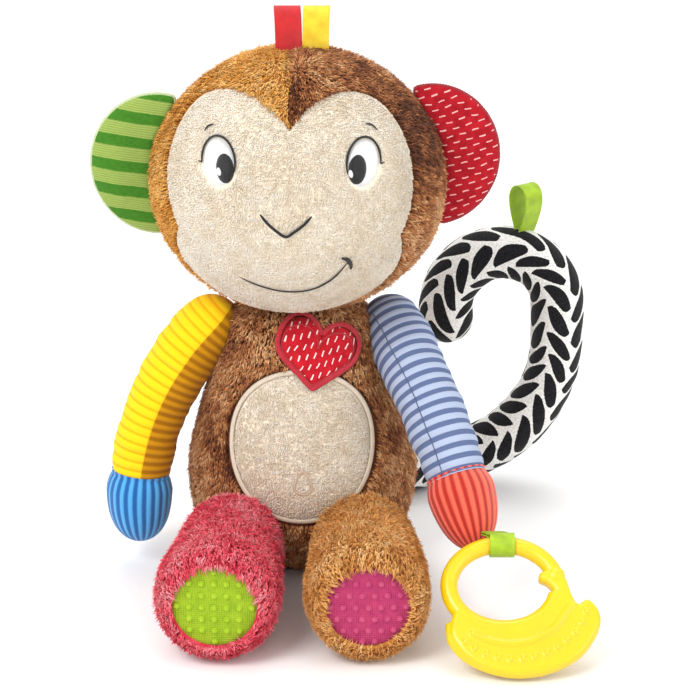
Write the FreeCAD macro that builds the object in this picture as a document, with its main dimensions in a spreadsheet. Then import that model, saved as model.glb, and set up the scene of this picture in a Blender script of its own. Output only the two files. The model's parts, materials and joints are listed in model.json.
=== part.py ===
"""Seated plush activity monkey: stuffed body, head, limbs and hooked tail, each of sewn pieces.

Frame: +Z up, the toy faces -Y, +X is the toy's left side. The origin is the centre of the flat
seat under the body. Lengths are in millimetres and angles in degrees.
"""
import FreeCAD, Part
import math
import os

import Sketcher

Vector = FreeCAD.Vector
Rotation = FreeCAD.Rotation
Placement = FreeCAD.Placement

# Driving dimensions: name, value. Every cell of the sheet is one of these.
DIMENSIONS = [
    # Cloth and fits
    ("skin", 1.6),
    ("fill_inset", 1.8),
    ("patch", 1.4),
    ("stitch", 0.8),
    ("stitch_top", 2.2),
    ("ribbon", 0.6),
    ("joint_gap", 0.5),
    ("sewn_lap", 1),
    ("marker_length", 90),
    # Body
    ("seat_radius", 24),
    ("seat_trim", 0.6),
    ("torso_radius", 57.5),
    ("torso_widest", 56),
    ("torso_low_bend", 63.6),
    ("neck_radius", 33),
    ("neck_level", 128),
    ("crown_bend", 12),
    ("crown_radius", 33),
    ("crown_level", 139),
    ("dip_radius", 20),
    ("dip_level", 135),
    ("torso_depth_ratio", 0.83),
    ("belly_x", 1.5),
    ("belly_z", 77.5),
    ("belly_half_width", 35.5),
    ("belly_half_height", 39),
    ("belly_rim", 2.4),
    ("button_z", 61),
    ("button_half_width", 3.6),
    ("button_half_height", 5),
    ("button_thread", 1),
    ("heart_x", 7.5),
    ("heart_z", 126),
    ("heart_lobe", 10.5),
    ("heart_turn", -12),
    ("heart_rim", 1.6),
    ("heart_near", 24),
    ("rattle_radius", 15),
    ("rattle_wall", 1.2),
    ("rattle_z", 75),
    ("bead_radius", 2),
    ("bead_orbit", 5.2),
    ("bead_play", 0.1),
    # Neck
    ("neck_ball", 16),
    ("neck_pivot_z", 146),
    # Head
    ("head_x", -1),
    ("head_y", -4),
    ("head_z", 204.5),
    ("head_half_width", 72),
    ("head_half_depth", 60),
    ("head_half_height", 67),
    ("crown_seam_x", -4),
    ("lobe_radius", 34),
    ("lobe_z", 223.5),
    ("right_lobe_x", -29.5),
    ("left_lobe_x", 21.5),
    ("muzzle_x", -5),
    ("muzzle_z", 181),
    ("muzzle_half_width", 55),
    ("muzzle_half_height", 38),
    ("face_near", 12),
    ("eye_near", 20),
    ("eye_half_width", 7.4),
    ("eye_half_height", 10.6),
    ("eye_rim", 1.1),
    ("pupil_half_width", 4.4),
    ("pupil_half_height", 7),
    ("right_eye_x", -37.2),
    ("left_eye_x", 31.1),
    ("eye_z", 228.3),
    ("right_pupil_x", -34.6),
    ("left_pupil_x", 28.6),
    ("pupil_z", 226.1),
    ("thread", 1.6),
    ("brow_radius", 8),
    ("brow_sweep", 50),
    ("brow_z", 238),
    ("right_brow_x", -33.5),
    ("right_brow_start", 96),
    ("left_brow_x", 29.5),
    ("left_brow_start", 38),
    ("nose_radius", 12.5),
    ("nose_x", -5),
    ("nose_z", 207.5),
    ("nose_start", 200),
    ("nose_sweep", 140),
    ("smile_radius", 39),
    ("smile_x", -5.5),
    ("smile_z", 208),
    ("smile_start", 236),
    ("smile_sweep", 82),
    # Ears
    ("ear_half_width", 33),
    ("ear_half_height", 35.5),
    ("ear_panel", 4.4),
    ("ear_film", 0.4),
    ("ear_play", 0.1),
    ("ear_film_inset", 4),
    ("ear_y", 3),
    ("right_ear_x", -71),
    ("right_ear_z", 212.5),
    ("left_ear_x", 66),
    ("left_ear_z", 217),
    ("ear_gap", 3),
    # Ribbon tabs on the head
    ("tab_width", 13),
    ("tab_rise", 21),
    ("tab_half_gap", 2.6),
    ("tab_foot_z", 268),
    ("red_tab_x", -5),
    ("yellow_tab_x", 8.2),
    ("tab_y", -3),
    # Arms
    ("arm_radius", 16),
    ("cuff_radius", 16.6),
    ("shoulder_x", 46),
    ("shoulder_z", 128),
    ("shoulder_gap", 3.7),
    ("right_elbow_x", -74),
    ("right_elbow_y", -6),
    ("right_elbow_z", 86),
    ("right_wrist_x", -84.5),
    ("right_wrist_y", -11),
    ("right_wrist_z", 30),
    ("left_elbow_x", 65),
    ("left_elbow_y", -40),
    ("left_elbow_z", 100),
    ("left_wrist_x", 83),
    ("left_wrist_y", -76),
    ("left_wrist_z", 54.5),
    ("hand_length", 20),
    ("back_panel_angle", 100),
    ("squeaker_radius", 9),
    ("squeaker_height", 9),
    ("squeaker_play", 0.3),
    # Legs
    ("hip_radius", 26),
    ("hip_gap", 2.5),
    ("foot_radius", 31),
    ("leg_length", 69),
    ("toe_bend", 10),
    ("sole_radius", 21),
    ("sole_thick", 1.4),
    ("sole_play", 0.1),
    ("hip_y", -52),
    ("hip_z", 29),
    ("right_hip_x", -34),
    ("left_hip_x", 32),
    ("foot_z", 31.2),
    ("right_foot_x", -38.8),
    ("left_foot_x", 33.6),
    ("dot_radius", 1.1),
    ("dot_height", 0.9),
    ("dot_margin", 2.5),
    ("dot_pitch", 6),
    # Tail
    ("tail_radius", 14.8),
    ("tail_rise", 0.2),
    ("tail_root_x", 12),
    ("tail_root_y", 50),
    ("tail_root_z", 17),
    ("tail_turn_x", 67.5),
    ("tail_plane_y", 92),
    ("tail_sweep_bend", 72),
    ("tail_post", 19.5),
    ("hook_bend", 31),
    ("hook_angle", 192),
    ("tail_tab_angle", 78),
    ("tail_tab_rise", 24),
    ("tail_tab_half_gap", 5),
    ("tail_tab_sunk", 1.5),
    ("tail_tab_turn", 50),
    # Teether
    ("ring_half_width", 26),
    ("ring_half_height", 21.5),
    ("ring_radius", 4),
    ("ring_start", 14),
    ("ring_end", 345),
    ("ring_ball", 4.7),
    ("claw_radius", 7),
    ("claw_cup", 5.3),
    ("claw_length", 7),
    ("teether_thick", 8),
    ("teether_lean", 43),
    ("teether_x", 98.5),
    ("teether_y", -113.8),
    ("teether_z", 34.6),
    ("loop_radius", 6),
    ("loop_width", 12),
]

# Corners of the teether's chewing cluster in its own plane: name, x, y, bend radius of the edge
# that leaves the corner (0 is straight, positive bulges out, negative bulges in).
CLUSTER = [
    ("cluster_left", -26, -20, 40),
    ("cluster_base", 6, -46.3, 44),
    ("cluster_right", 45.5, -20, 8.5),
    ("cluster_notch", 36, -9, 0),
    ("cluster_stem", 29.5, 3, 0),
    ("cluster_shelf", 22, 1, -38),
]

doc = FreeCAD.newDocument("plush_monkey")
dims = doc.addObject("Spreadsheet::Sheet", "dims")
finished = []


def fill_sheet():
    """Writes every driving dimension into the sheet, one per row."""
    rows = list(DIMENSIONS)
    for name, x, y, bend in CLUSTER:
        rows += [(name + "_x", x), (name + "_y", y), (name + "_bend", bend)]
    for number, (name, value) in enumerate(rows, start=1):
        dims.set(f"A{number}", name)
        dims.set(f"B{number}", str(value))
        dims.setAlias(f"B{number}", name)
    doc.recompute()


def size(name):
    """A cell of the sheet, or a plain number, as a float."""
    if isinstance(name, str):
        return float(dims.get(name))
    return float(name)


def bind(item, prop, value):
    """Binds a property to an expression over the sheet, or sets it to a plain number."""
    if isinstance(value, str):
        item.setExpression(prop, value)
    else:
        setattr(item, prop, value)


def add(kind, name, rotation=None, at=(0, 0, 0), **sizes):
    """Adds a primitive, binds its sizes, turns it, and binds its place."""
    item = doc.addObject(kind, name)
    for prop, value in sizes.items():
        bind(item, prop, value)
    item.Placement = Placement(Vector(0, 0, 0), rotation or Rotation())
    for axis, value in zip("xyz", at):
        if isinstance(value, str):
            item.setExpression("Placement.Base." + axis, value)
        else:
            base = item.Placement.Base
            setattr(base, axis, value)
            item.Placement = Placement(base, item.Placement.Rotation)
    return item


def cut(base, tool, name="cut"):
    item = doc.addObject("Part::Cut", name)
    item.Base = base
    item.Tool = tool
    return item


def common(base, tool, name="common"):
    item = doc.addObject("Part::Common", name)
    item.Base = base
    item.Tool = tool
    return item


def fuse(shapes, name="fuse"):
    item = doc.addObject("Part::MultiFuse", name)
    item.Shapes = shapes
    return item


def cut_all(base, tools, name):
    for tool in tools:
        base = cut(base, tool, name)
    return base


def held(name, items):
    """Several shapes as one, with a placement of its own."""
    group = doc.addObject("Part::Compound", name)
    group.Links = items
    return group


def finish(item, label):
    """Marks an object as a finished sub-part."""
    item.Label = label
    finished.append(item)
    return item


TO_FRONT = Rotation(Vector(1, 0, 0), 90)
TALL_TO_FRONT = Rotation(Vector(1, 0, 0), 90) * Rotation(Vector(0, 0, 1), 90)


def oval_bar(name, x, z, half_width, half_height, near, length="dims.marker_length"):
    """An oval bar along -Y from y = near."""
    tall = size_of(half_height) > size_of(half_width)
    rotation = TALL_TO_FRONT if tall else TO_FRONT
    major = half_height if tall else half_width
    minor = half_width if tall else half_height
    oval = add("Part::Ellipse", name + "_oval", rotation, (x, near, z),
               MajorRadius=major, MinorRadius=minor)
    bar = doc.addObject("Part::Extrusion", name)
    bar.Base = oval
    bar.DirMode = "Custom"
    bar.Dir = Vector(0, -1, 0)
    bind(bar, "LengthFwd", length)
    bar.Solid = True
    return bar


def size_of(expression):
    """The value of a sum of sheet names and numbers, such as "dims.a + dims.b"."""
    if not isinstance(expression, str):
        return float(expression)
    total = 0.0
    for term in expression.replace("- ", "+ -").split("+"):
        term = term.strip()
        sign = -1.0 if term.startswith("-") else 1.0
        term = term.lstrip("-").strip()
        value = size(term[5:]) if term.startswith("dims.") else float(term)
        total += sign * value
    return total


def plane(body, role):
    return next(f for f in body.Origin.OriginFeatures if f.Role == role)


def hold(sketch, geometry, end, axis, expression):
    """Holds one coordinate of a line end or arc end at a sheet expression."""
    value = size_of(expression)
    if abs(value) < 1e-6:
        sketch.addConstraint(Sketcher.Constraint("PointOnObject", geometry, end,
                                                 -2 if axis == "X" else -1))
        return
    first = sketch.addConstraint(Sketcher.Constraint("Distance" + axis, -1, 1, geometry, end, value))
    sketch.setExpression(f"Constraints[{first}]", str(expression))


def outline(sketch, corners):
    """Draws a closed outline, anticlockwise, through corners of (x, y, bend of the next edge)."""
    points = [Vector(size_of(x), size_of(y), 0) for x, y, bend in corners]
    for number, (x, y, bend) in enumerate(corners):
        start = points[number]
        end = points[(number + 1) % len(points)]
        radius = size_of(bend)
        if radius:
            chord = end - start
            across = Vector(chord.y, -chord.x, 0).normalize()
            rise = abs(radius) - math.sqrt(radius ** 2 - (chord.Length / 2) ** 2)
            middle = (start + end) / 2 + across * rise * math.copysign(1, radius)
            edge = Part.ArcOfCircle(start, middle, end)
        else:
            edge = Part.LineSegment(start, end)
        sketch.addGeometry(edge)
    ends = [edge_ends(sketch, number, points) for number in range(len(corners))]
    for number, (x, y, bend) in enumerate(corners):
        after = (number + 1) % len(corners)
        sketch.addConstraint(Sketcher.Constraint("Coincident", number, ends[number][1],
                                                 after, ends[after][0]))
        hold(sketch, number, ends[number][0], "X", x)
        hold(sketch, number, ends[number][0], "Y", y)
        if size_of(bend):
            held = sketch.addConstraint(Sketcher.Constraint("Radius", number, abs(size_of(bend))))
            sketch.setExpression(f"Constraints[{held}]", f"abs({bend})")


def edge_ends(sketch, number, points):
    """Which ends (1 or 2) of an edge are its first and second corner."""
    start = sketch.getPoint(number, 1)
    near = (start - points[number]).Length < 1e-4
    return (1, 2) if near else (2, 1)


def new_sketch(body, name, role):
    sketch = body.newObject("Sketcher::SketchObject", name)
    sketch.AttachmentSupport = [(plane(body, role), "")]
    sketch.MapMode = "FlatFace"
    return sketch


def turned(name, corners):
    """A body of revolution about its own Z axis, from corners of (radius, level, bend)."""
    body = doc.addObject("PartDesign::Body", name)
    sketch = new_sketch(body, name + "_profile", "XZ_Plane")
    outline(sketch, corners)
    doc.recompute()
    turn = body.newObject("PartDesign::Revolution", name + "_turn")
    turn.Profile = sketch
    turn.ReferenceAxis = (sketch, ["V_Axis"])
    turn.Angle = 360
    sketch.Visibility = False
    return body


# ---------------------------------------------------------------------------------------------
# Body


def torso_form(name, inset):
    """The egg-shaped body, smaller by the inset all round, narrower front to back than across."""
    body = turned(name, [
        (0, f"{inset} - dims.seat_trim", 0),
        ("dims.seat_radius", f"{inset} - dims.seat_trim", "dims.torso_low_bend"),
        (f"dims.torso_radius - {inset}", "dims.torso_widest", 0),
        (f"dims.neck_radius - {inset}", "dims.neck_level", "dims.crown_bend"),
        ("dims.crown_radius", f"dims.crown_level - {inset}", 0),
        ("dims.dip_radius", f"dims.dip_level - {inset}", 0),
        (0, f"dims.dip_level - {inset}", 0),
    ])
    flat = doc.addObject("Part::Scale", name + "_form")
    flat.Base = body
    flat.Uniform = False
    flat.setExpression("YScale", "dims.torso_depth_ratio")
    return flat


def sockets():
    """Round hollows in the body where the limbs, the tail and the neck are sewn on."""
    shoulder = "dims.arm_radius + dims.shoulder_gap"
    hip = "dims.hip_radius + dims.hip_gap"
    places = [
        ("right_shoulder", shoulder, ("-dims.shoulder_x", 0, "dims.shoulder_z")),
        ("left_shoulder", shoulder, ("dims.shoulder_x", 0, "dims.shoulder_z")),
        ("right_hip", hip, ("dims.right_hip_x", "dims.hip_y", "dims.hip_z")),
        ("left_hip", hip, ("dims.left_hip_x", "dims.hip_y", "dims.hip_z")),
        ("tail_root", "dims.tail_radius + dims.joint_gap",
         ("dims.tail_root_x", "dims.tail_root_y", "dims.tail_root_z")),
        ("neck", "dims.neck_ball + dims.joint_gap", (0, 0, "dims.neck_pivot_z")),
    ]
    return [add("Part::Sphere", name + "_socket", at=at, Radius=radius)
            for name, radius, at in places]


def make_torso(hollows):
    outer = torso_form("torso_outer", "0")
    lining = torso_form("torso_lining", "dims.skin")
    filling = torso_form("torso_filling", "dims.fill_inset")
    ground = add("Part::Box", "ground", at=(-100, -100, -10), Length=200, Width=200, Height=10)
    shell = cut_all(cut(outer, lining, "torso_shell"), hollows + [ground], "torso_open_shell")
    front = add("Part::Box", "front_half", at=(-100, -100, -10), Length=200, Width=100, Height=200)
    back = add("Part::Box", "back_half", at=(-100, 0, -10), Length=200, Width=100, Height=200)
    finish(common(shell, front), "torso_front_panel")
    finish(common(shell, back), "torso_back_panel")
    capsule = add("Part::Sphere", "capsule_outer", at=(0, 0, "dims.rattle_z"),
                  Radius="dims.rattle_radius")
    space = add("Part::Sphere", "capsule_space", at=(0, 0, "dims.rattle_z"),
                Radius="dims.rattle_radius - dims.rattle_wall")
    finish(cut(capsule, space), "rattle_capsule")
    room = add("Part::Sphere", "capsule_room", at=(0, 0, "dims.rattle_z"),
               Radius="dims.rattle_radius + dims.joint_gap")
    stuffing = cut_all(filling, hollows, "torso_stuffing_open")
    finish(cut(stuffing, room), "torso_stuffing")
    make_beads()
    return outer


def make_beads():
    """Loose rattle beads at the bottom of the capsule, as one group of separate balls."""
    beads = doc.addObject("Part::Feature", "beads")
    radius = size("bead_radius")
    orbit = size("bead_orbit")
    low = size("rattle_z") - math.sqrt(
        (size("rattle_radius") - size("rattle_wall") - radius) ** 2 - orbit ** 2) + size("bead_play")
    balls = []
    for step in range(5):
        angle = math.radians(72 * step)
        place = Vector(orbit * math.cos(angle), orbit * math.sin(angle), low)
        balls.append(Part.makeSphere(radius, place))
    beads.Shape = Part.makeCompound(balls)
    finish(beads, "rattle_beads")


def make_belly(outer, hollows):
    """The belly patch, its raised satin rim and the stitched button, on the body's front."""
    raised = torso_form("torso_patch", "-dims.patch")
    layer = cut_all(cut(raised, outer, "patch_layer"), hollows, "patch_open_layer")
    patch_bar = oval_bar("belly_bar", "dims.belly_x", "dims.belly_z",
                         "dims.belly_half_width", "dims.belly_half_height", 0)
    rim_bar = oval_bar("belly_rim_bar", "dims.belly_x", "dims.belly_z",
                       "dims.belly_half_width + dims.belly_rim",
                       "dims.belly_half_height + dims.belly_rim", 0)
    heart_bar = heart_prism("heart_bar", "0")
    heart_rim_bar = heart_prism("heart_rim_bar", "dims.heart_rim")
    button_bar = oval_bar("button_bar", "dims.belly_x", "dims.button_z",
                          "dims.button_half_width", "dims.button_half_height", 0)
    button_hole = oval_bar("button_hole_bar", "dims.belly_x", "dims.button_z",
                           "dims.button_half_width - dims.button_thread",
                           "dims.button_half_height - dims.button_thread", 0)
    finish(cut(common(layer, patch_bar, "belly_layer"), heart_rim_bar), "belly_patch")
    stitched = cut(torso_form("torso_stitch", "-dims.stitch_top"), raised, "button_layer")
    finish(common(stitched, cut(button_bar, button_hole, "button_ring")), "belly_button_stitch")
    rim = cut(rim_bar, patch_bar, "belly_rim_ring")
    finish(cut(common(layer, rim), heart_rim_bar), "belly_rim_stitch")
    finish(common(layer, heart_bar), "heart_patch")
    finish(common(layer, cut(heart_rim_bar, heart_bar)), "heart_rim_stitch")


def heart_prism(name, margin):
    """A heart-shaped bar along -Y: two round lobes over a turned square."""
    near = -size("heart_near")
    length = size("marker_length") + near
    lobe = f"dims.heart_lobe + {margin}"
    bars = []
    turn = Rotation(Vector(0, 1, 0), size("heart_turn"))
    lobe_radius = size("heart_lobe")
    for side in (-1, 1):
        place = turn.multVec(Vector(side * lobe_radius * 0.95, 0, lobe_radius * 0.3))
        bars.append(add("Part::Cylinder", name + "_lobe", TO_FRONT,
                        (f"dims.heart_x + {place.x:.3f}", near, f"dims.heart_z + {place.z:.3f}"),
                        Radius=lobe, Height=length))
    square = add("Part::Box", name + "_point", at=("dims.heart_x", 0, "dims.heart_z"),
                 Length=f"2 * dims.heart_lobe + {margin}", Width=length,
                 Height=f"2 * dims.heart_lobe + {margin}")
    side = 2 * lobe_radius
    diagonal = side / math.sqrt(2)
    grow = size_of(margin) * math.sqrt(2)
    corner = turn.multVec(Vector(0, -90, lobe_radius * 0.3 + lobe_radius * 0.45 - 2 * diagonal - grow))
    square.setExpression("Placement.Base.x", f"dims.heart_x + {corner.x:.3f}")
    square.setExpression("Placement.Base.z", f"dims.heart_z + {corner.z:.3f}")
    square.Placement = Placement(Vector(0, -90, 0), turn * Rotation(Vector(0, 1, 0), -45))
    bars.append(square)
    return fuse(bars, name)


# ---------------------------------------------------------------------------------------------
# Head


def head_form(name, grow):
    """The oval head, larger by grow all round."""
    return add("Part::Ellipsoid", name, at=("dims.head_x", "dims.head_y", "dims.head_z"),
               Radius1=f"dims.head_half_height + {grow}",
               Radius2=f"dims.head_half_width + {grow}",
               Radius3=f"dims.head_half_depth + {grow}")


def face_tool():
    """Bars along Y that mark the face panel: two lobes over the eyes and the muzzle below."""
    lobes = [add("Part::Cylinder", side + "_lobe_bar", TO_FRONT,
                 (f"dims.{side}_lobe_x", "-dims.face_near", "dims.lobe_z"),
                 Radius="dims.lobe_radius", Height="dims.marker_length")
             for side in ("right", "left")]
    muzzle = oval_bar("muzzle_bar", "dims.muzzle_x", "dims.muzzle_z",
                      "dims.muzzle_half_width", "dims.muzzle_half_height", "-dims.face_near")
    return fuse(lobes + [muzzle], "face_bars")


def make_head(neck_hollow):
    outer = head_form("head_outer", "0")
    lining = head_form("head_lining", "-dims.skin")
    filling = head_form("head_filling", "-dims.fill_inset")
    shell = cut(cut(outer, lining), neck_hollow, "head_shell")
    face = face_tool()
    plush = cut(shell, face, "head_plush")
    right = add("Part::Box", "right_side", at=("dims.crown_seam_x - 200", -100, 100),
                Length=200, Width=200, Height=200)
    left = add("Part::Box", "left_side", at=("dims.crown_seam_x", -100, 100),
               Length=200, Width=200, Height=200)
    finish(common(plush, right), "head_right_panel")
    finish(common(plush, left), "head_left_panel")
    finish(common(shell, face), "face_panel")
    finish(cut(filling, neck_hollow), "head_stuffing")
    raised = head_form("head_stitched", "dims.stitch")
    return cut(raised, outer, "stitch_layer")


def make_eye(layer, side):
    """One embroidered eye: white, dark pupil and dark rim."""
    x = f"dims.{side}_eye_x"
    white_bar = oval_bar(side + "_white_bar", x, "dims.eye_z",
                         "dims.eye_half_width", "dims.eye_half_height", "-dims.eye_near")
    pupil_bar = oval_bar(side + "_pupil_bar", f"dims.{side}_pupil_x", "dims.pupil_z",
                         "dims.pupil_half_width", "dims.pupil_half_height", "-dims.eye_near")
    rim_bar = oval_bar(side + "_rim_bar", x, "dims.eye_z",
                       "dims.eye_half_width + dims.eye_rim",
                       "dims.eye_half_height + dims.eye_rim", "-dims.eye_near")
    finish(common(layer, cut(white_bar, pupil_bar)), side + "_eye_white")
    finish(common(layer, pupil_bar), side + "_pupil")
    finish(common(layer, cut_all(rim_bar, [white_bar, pupil_bar], side + "_rim_ring")),
           side + "_eye_rim")


def thread_bar(layer, name, stitch):
    """One curved embroidered line: part of a ring of thread width, cut out of the stitch layer."""
    turn = TO_FRONT * Rotation(Vector(0, 0, 1), size(name + "_start"))
    at = (f"dims.{name}_x", "-dims.eye_near", f"dims.{stitch}_z")
    rings = [add("Part::Cylinder", f"{name}_{part}", turn, at, Radius=f"dims.{stitch}_radius{less}",
                 Height="dims.marker_length", Angle=f"dims.{stitch}_sweep")
             for part, less in (("outer", ""), ("inner", " - dims.thread"))]
    return common(layer, cut(rings[0], rings[1], name))


def make_face_stitches(layer):
    """Brows, nose line and smile, embroidered on the face panel."""
    brows = [thread_bar(layer, side + "_brow", "brow") for side in ("right", "left")]
    finish(held("brow_pair", brows), "brow_stitches")
    finish(thread_bar(layer, "nose", "nose"), "nose_stitch")
    finish(thread_bar(layer, "smile", "smile"), "mouth_stitch")


def make_ear(side):
    """A flat ear of a front and a back panel with a crackling film between them."""
    x = f"dims.{side}_ear_x"
    z = f"dims.{side}_ear_z"
    clear = head_form(side + "_ear_clearance", "dims.ear_gap")
    panel = size("ear_panel")
    film = size("ear_film")
    play = size("ear_play")
    middle = size("ear_y")
    front = oval_bar(side + "_ear_front_disc", x, z, "dims.ear_half_width",
                     "dims.ear_half_height", middle - film / 2 - play, panel)
    back = oval_bar(side + "_ear_back_disc", x, z, "dims.ear_half_width",
                    "dims.ear_half_height", middle + film / 2 + play + panel, panel)
    sheet = oval_bar(side + "_ear_film_disc", x, z,
                     "dims.ear_half_width - dims.ear_film_inset",
                     "dims.ear_half_height - dims.ear_film_inset", middle + film / 2, film)
    finish(cut(front, clear), side + "_ear_front")
    finish(cut(back, clear), side + "_ear_back")
    finish(cut(sheet, clear), side + "_ear_crackle_film")


def folded_tab(name, x, y, z, half_gap, rise, width, turn):
    """A folded ribbon tab: a thin oval band standing on its sewn ends, seen along its width."""
    bands = []
    for part, inset in (("outer", "0"), ("inner", "dims.ribbon")):
        half_rise = f"dims.{rise} / 2 - {inset}"
        oval = add("Part::Ellipse", f"{name}_{part}_oval",
                   turn * Rotation(Vector(0, 1, 0), -90), (x, y, z),
                   MajorRadius=half_rise, MinorRadius=f"dims.{half_gap} - {inset}")
        band = doc.addObject("Part::Extrusion", f"{name}_{part}")
        band.Base = oval
        band.DirMode = "Normal"
        band.setExpression("LengthFwd", f"dims.{width}")
        band.Symmetric = True
        band.Solid = True
        bands.append(band)
    return cut(bands[0], bands[1], name)


def make_head_tabs():
    for colour in ("red", "yellow"):
        tab = folded_tab(colour + "_tab", f"dims.{colour}_tab_x", "dims.tab_y",
                         "dims.tab_foot_z + dims.tab_rise / 2",
                         "tab_half_gap", "tab_rise", "tab_width", Rotation())
        finish(tab, colour + "_ribbon_tab")


# ---------------------------------------------------------------------------------------------
# Arms


def arc_through(start, middle, end):
    """Radius, sweep and placement of the arc through three points, which starts on local +X."""
    first = middle - start
    second = end - start
    normal = first.cross(second)
    to_centre = (normal.cross(first) * second.dot(second)
                 + second.cross(normal) * first.dot(first)) / (2 * normal.dot(normal))
    centre = start + to_centre
    out = (start - centre).normalize()
    normal.normalize()
    along = normal.cross(out)
    reach = end - centre
    sweep = math.degrees(math.atan2(reach.dot(along), reach.dot(out)))
    turn = Rotation(out, along, normal, "ZXY")
    return to_centre.Length, sweep, Placement(centre, turn)


def bent_tube(name, bend, start, sweep, radius, round_ends):
    """A tube along part of an arc about the local origin, with balls at its chosen ends."""
    turn = Rotation(Vector(0, 0, 1), start)
    tube = add("Part::Torus", name + "_tube", turn, Radius1=bend, Radius2=radius, Angle3=sweep)
    pieces = [tube]
    for end in round_ends:
        angle = math.radians(start + (sweep if end == "end" else 0))
        pieces.append(add("Part::Sphere", f"{name}_{end}",
                          at=(bend * math.cos(angle), bend * math.sin(angle), 0), Radius=radius))
    return fuse(pieces, name)


def make_arm(side, sign):
    """A sleeve, its filling and a hand along one arc from the shoulder to the wrist."""
    shoulder = Vector(sign * size("shoulder_x"), 0, size("shoulder_z"))
    elbow = Vector(*[size(f"{side}_elbow_{axis}") for axis in "xyz"])
    wrist = Vector(*[size(f"{side}_wrist_{axis}") for axis in "xyz"])
    bend, sweep, place = arc_through(shoulder, elbow, wrist)
    hand_sweep = math.degrees(size("hand_length") / bend)
    sleeve_sweep = sweep - hand_sweep
    skin = size("skin")
    inset = size("fill_inset")
    radius = size("arm_radius")
    cuff = size("cuff_radius")
    outer = bent_tube(side + "_sleeve_outer", bend, 0, sleeve_sweep, radius, ["start"])
    inner = bent_tube(side + "_sleeve_inner", bend, 0, sleeve_sweep, radius - skin, ["start"])
    sleeve = cut(outer, inner, side + "_sleeve_shell")
    hand_outer = bent_tube(side + "_hand_outer", bend, sleeve_sweep, hand_sweep, cuff, ["end"])
    hand_inner = bent_tube(side + "_hand_inner", bend, sleeve_sweep, hand_sweep, cuff - skin, ["end"])
    hand = cut(hand_outer, hand_inner)
    filling = bent_tube(side + "_arm_filling", bend, 0, sweep, radius - inset, ["start", "end"])
    if side == "right":
        filling = add_back_panel_and_squeaker(sleeve, filling, bend, sweep, sleeve_sweep, place)
    else:
        sleeve.Placement = place
        finish(sleeve, "left_sleeve")
    hand.Placement = place
    finish(hand, side + "_hand")
    filling.Placement = place
    finish(filling, side + "_arm_stuffing")
    return place, bend, sweep


def add_back_panel_and_squeaker(sleeve, filling, bend, sweep, sleeve_sweep, place):
    """Splits the right sleeve into two cloths, and beds a squeaker in the right hand."""
    wedge = add("Part::Torus", "back_panel_wedge", Radius1=bend, Radius2="2 * dims.arm_radius",
                Angle1="180 - dims.back_panel_angle / 2", Angle2="180 + dims.back_panel_angle / 2",
                Angle3=sleeve_sweep)
    panel = common(sleeve, wedge)
    stripes = cut(sleeve, wedge)
    panel.Placement = place
    stripes.Placement = place
    finish(panel, "right_sleeve_back_panel")
    finish(stripes, "right_sleeve")
    angle = math.radians(sweep)
    x = bend * math.cos(angle)
    y = bend * math.sin(angle)
    disc = add("Part::Cylinder", "squeaker_disc", at=(x, y, "-dims.squeaker_height / 2"),
               Radius="dims.squeaker_radius", Height="dims.squeaker_height")
    room = add("Part::Cylinder", "squeaker_room",
               at=(x, y, "-dims.squeaker_height / 2 - dims.squeaker_play"),
               Radius="dims.squeaker_radius + dims.squeaker_play",
               Height="dims.squeaker_height + 2 * dims.squeaker_play")
    holder = held("squeaker_holder", [disc])
    holder.Placement = place
    finish(holder, "squeaker")
    return cut(filling, room, "right_arm_bed")


# ---------------------------------------------------------------------------------------------
# Legs


def leg_form(name, inset):
    """A fat leg along local +Z from the hip centre: round hip, widening shin, rounded flat foot."""
    return turned(name, [
        (0, f"{inset} - dims.hip_radius", f"dims.hip_radius - {inset}"),
        (f"dims.hip_radius - {inset}", 0, 0),
        (f"dims.foot_radius - {inset}", "dims.leg_length", f"dims.toe_bend - {inset}"),
        ("dims.foot_radius - dims.toe_bend", f"dims.leg_length + dims.toe_bend - {inset}", 0),
        (0, f"dims.leg_length + dims.toe_bend - {inset}", 0),
    ])


def make_leg(side):
    """A plush leg with stuffing, a sole patch in its flat end and rubbery dots on the sole."""
    outer = leg_form(side + "_leg_outer", "0")
    lining = leg_form(side + "_leg_lining", "dims.skin")
    filling = leg_form(side + "_leg_filling", "dims.fill_inset")
    end = "dims.leg_length + dims.toe_bend"
    window = add("Part::Cylinder", side + "_sole_window", at=(0, 0, "dims.leg_length"),
                 Radius="dims.sole_radius", Height="dims.foot_radius")
    sole = add("Part::Cylinder", side + "_sole_disc", at=(0, 0, f"{end} - dims.sole_thick"),
               Radius="dims.sole_radius - dims.sole_play", Height="dims.sole_thick")
    shell = cut(cut(outer, lining), window)
    hip = Vector(size(side + "_hip_x"), size("hip_y"), size("hip_z"))
    foot = Vector(size(side + "_foot_x"), size("hip_y") - size("leg_length"), size("foot_z"))
    place = Placement(hip, Rotation(Vector(0, 0, 1), foot - hip))
    parts = [(shell, "leg_plush"), (held(side + "_sole_holder", [sole]), "sole"),
             (held(side + "_filling_holder", [filling]), "leg_stuffing"), (make_dots(side), "sole_dots")]
    for item, label in parts:
        item.Placement = place
        finish(item, f"{side}_{label}")


def make_dots(side):
    """Raised grip dots on a sole, in a grid within its rim, as one group of separate domes."""
    dots = doc.addObject("Part::Feature", side + "_dots")
    radius = size("dot_radius")
    pitch = size("dot_pitch")
    top = size("leg_length") + size("toe_bend")
    reach = size("sole_radius") - size("dot_margin")
    count = int(reach // pitch)
    domes = []
    for row in range(-count, count + 1):
        for column in range(-count, count + 1):
            shift = 0.5 * (row % 2) if side == "left" else 0
            x = (column + shift) * pitch
            y = row * pitch
            if math.hypot(x, y) < reach:
                domes.append(Part.makeCylinder(radius, size("dot_height"), Vector(x, y, top)))
    dots.Shape = Part.makeCompound(domes)
    return dots


# ---------------------------------------------------------------------------------------------
# Tail


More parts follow.
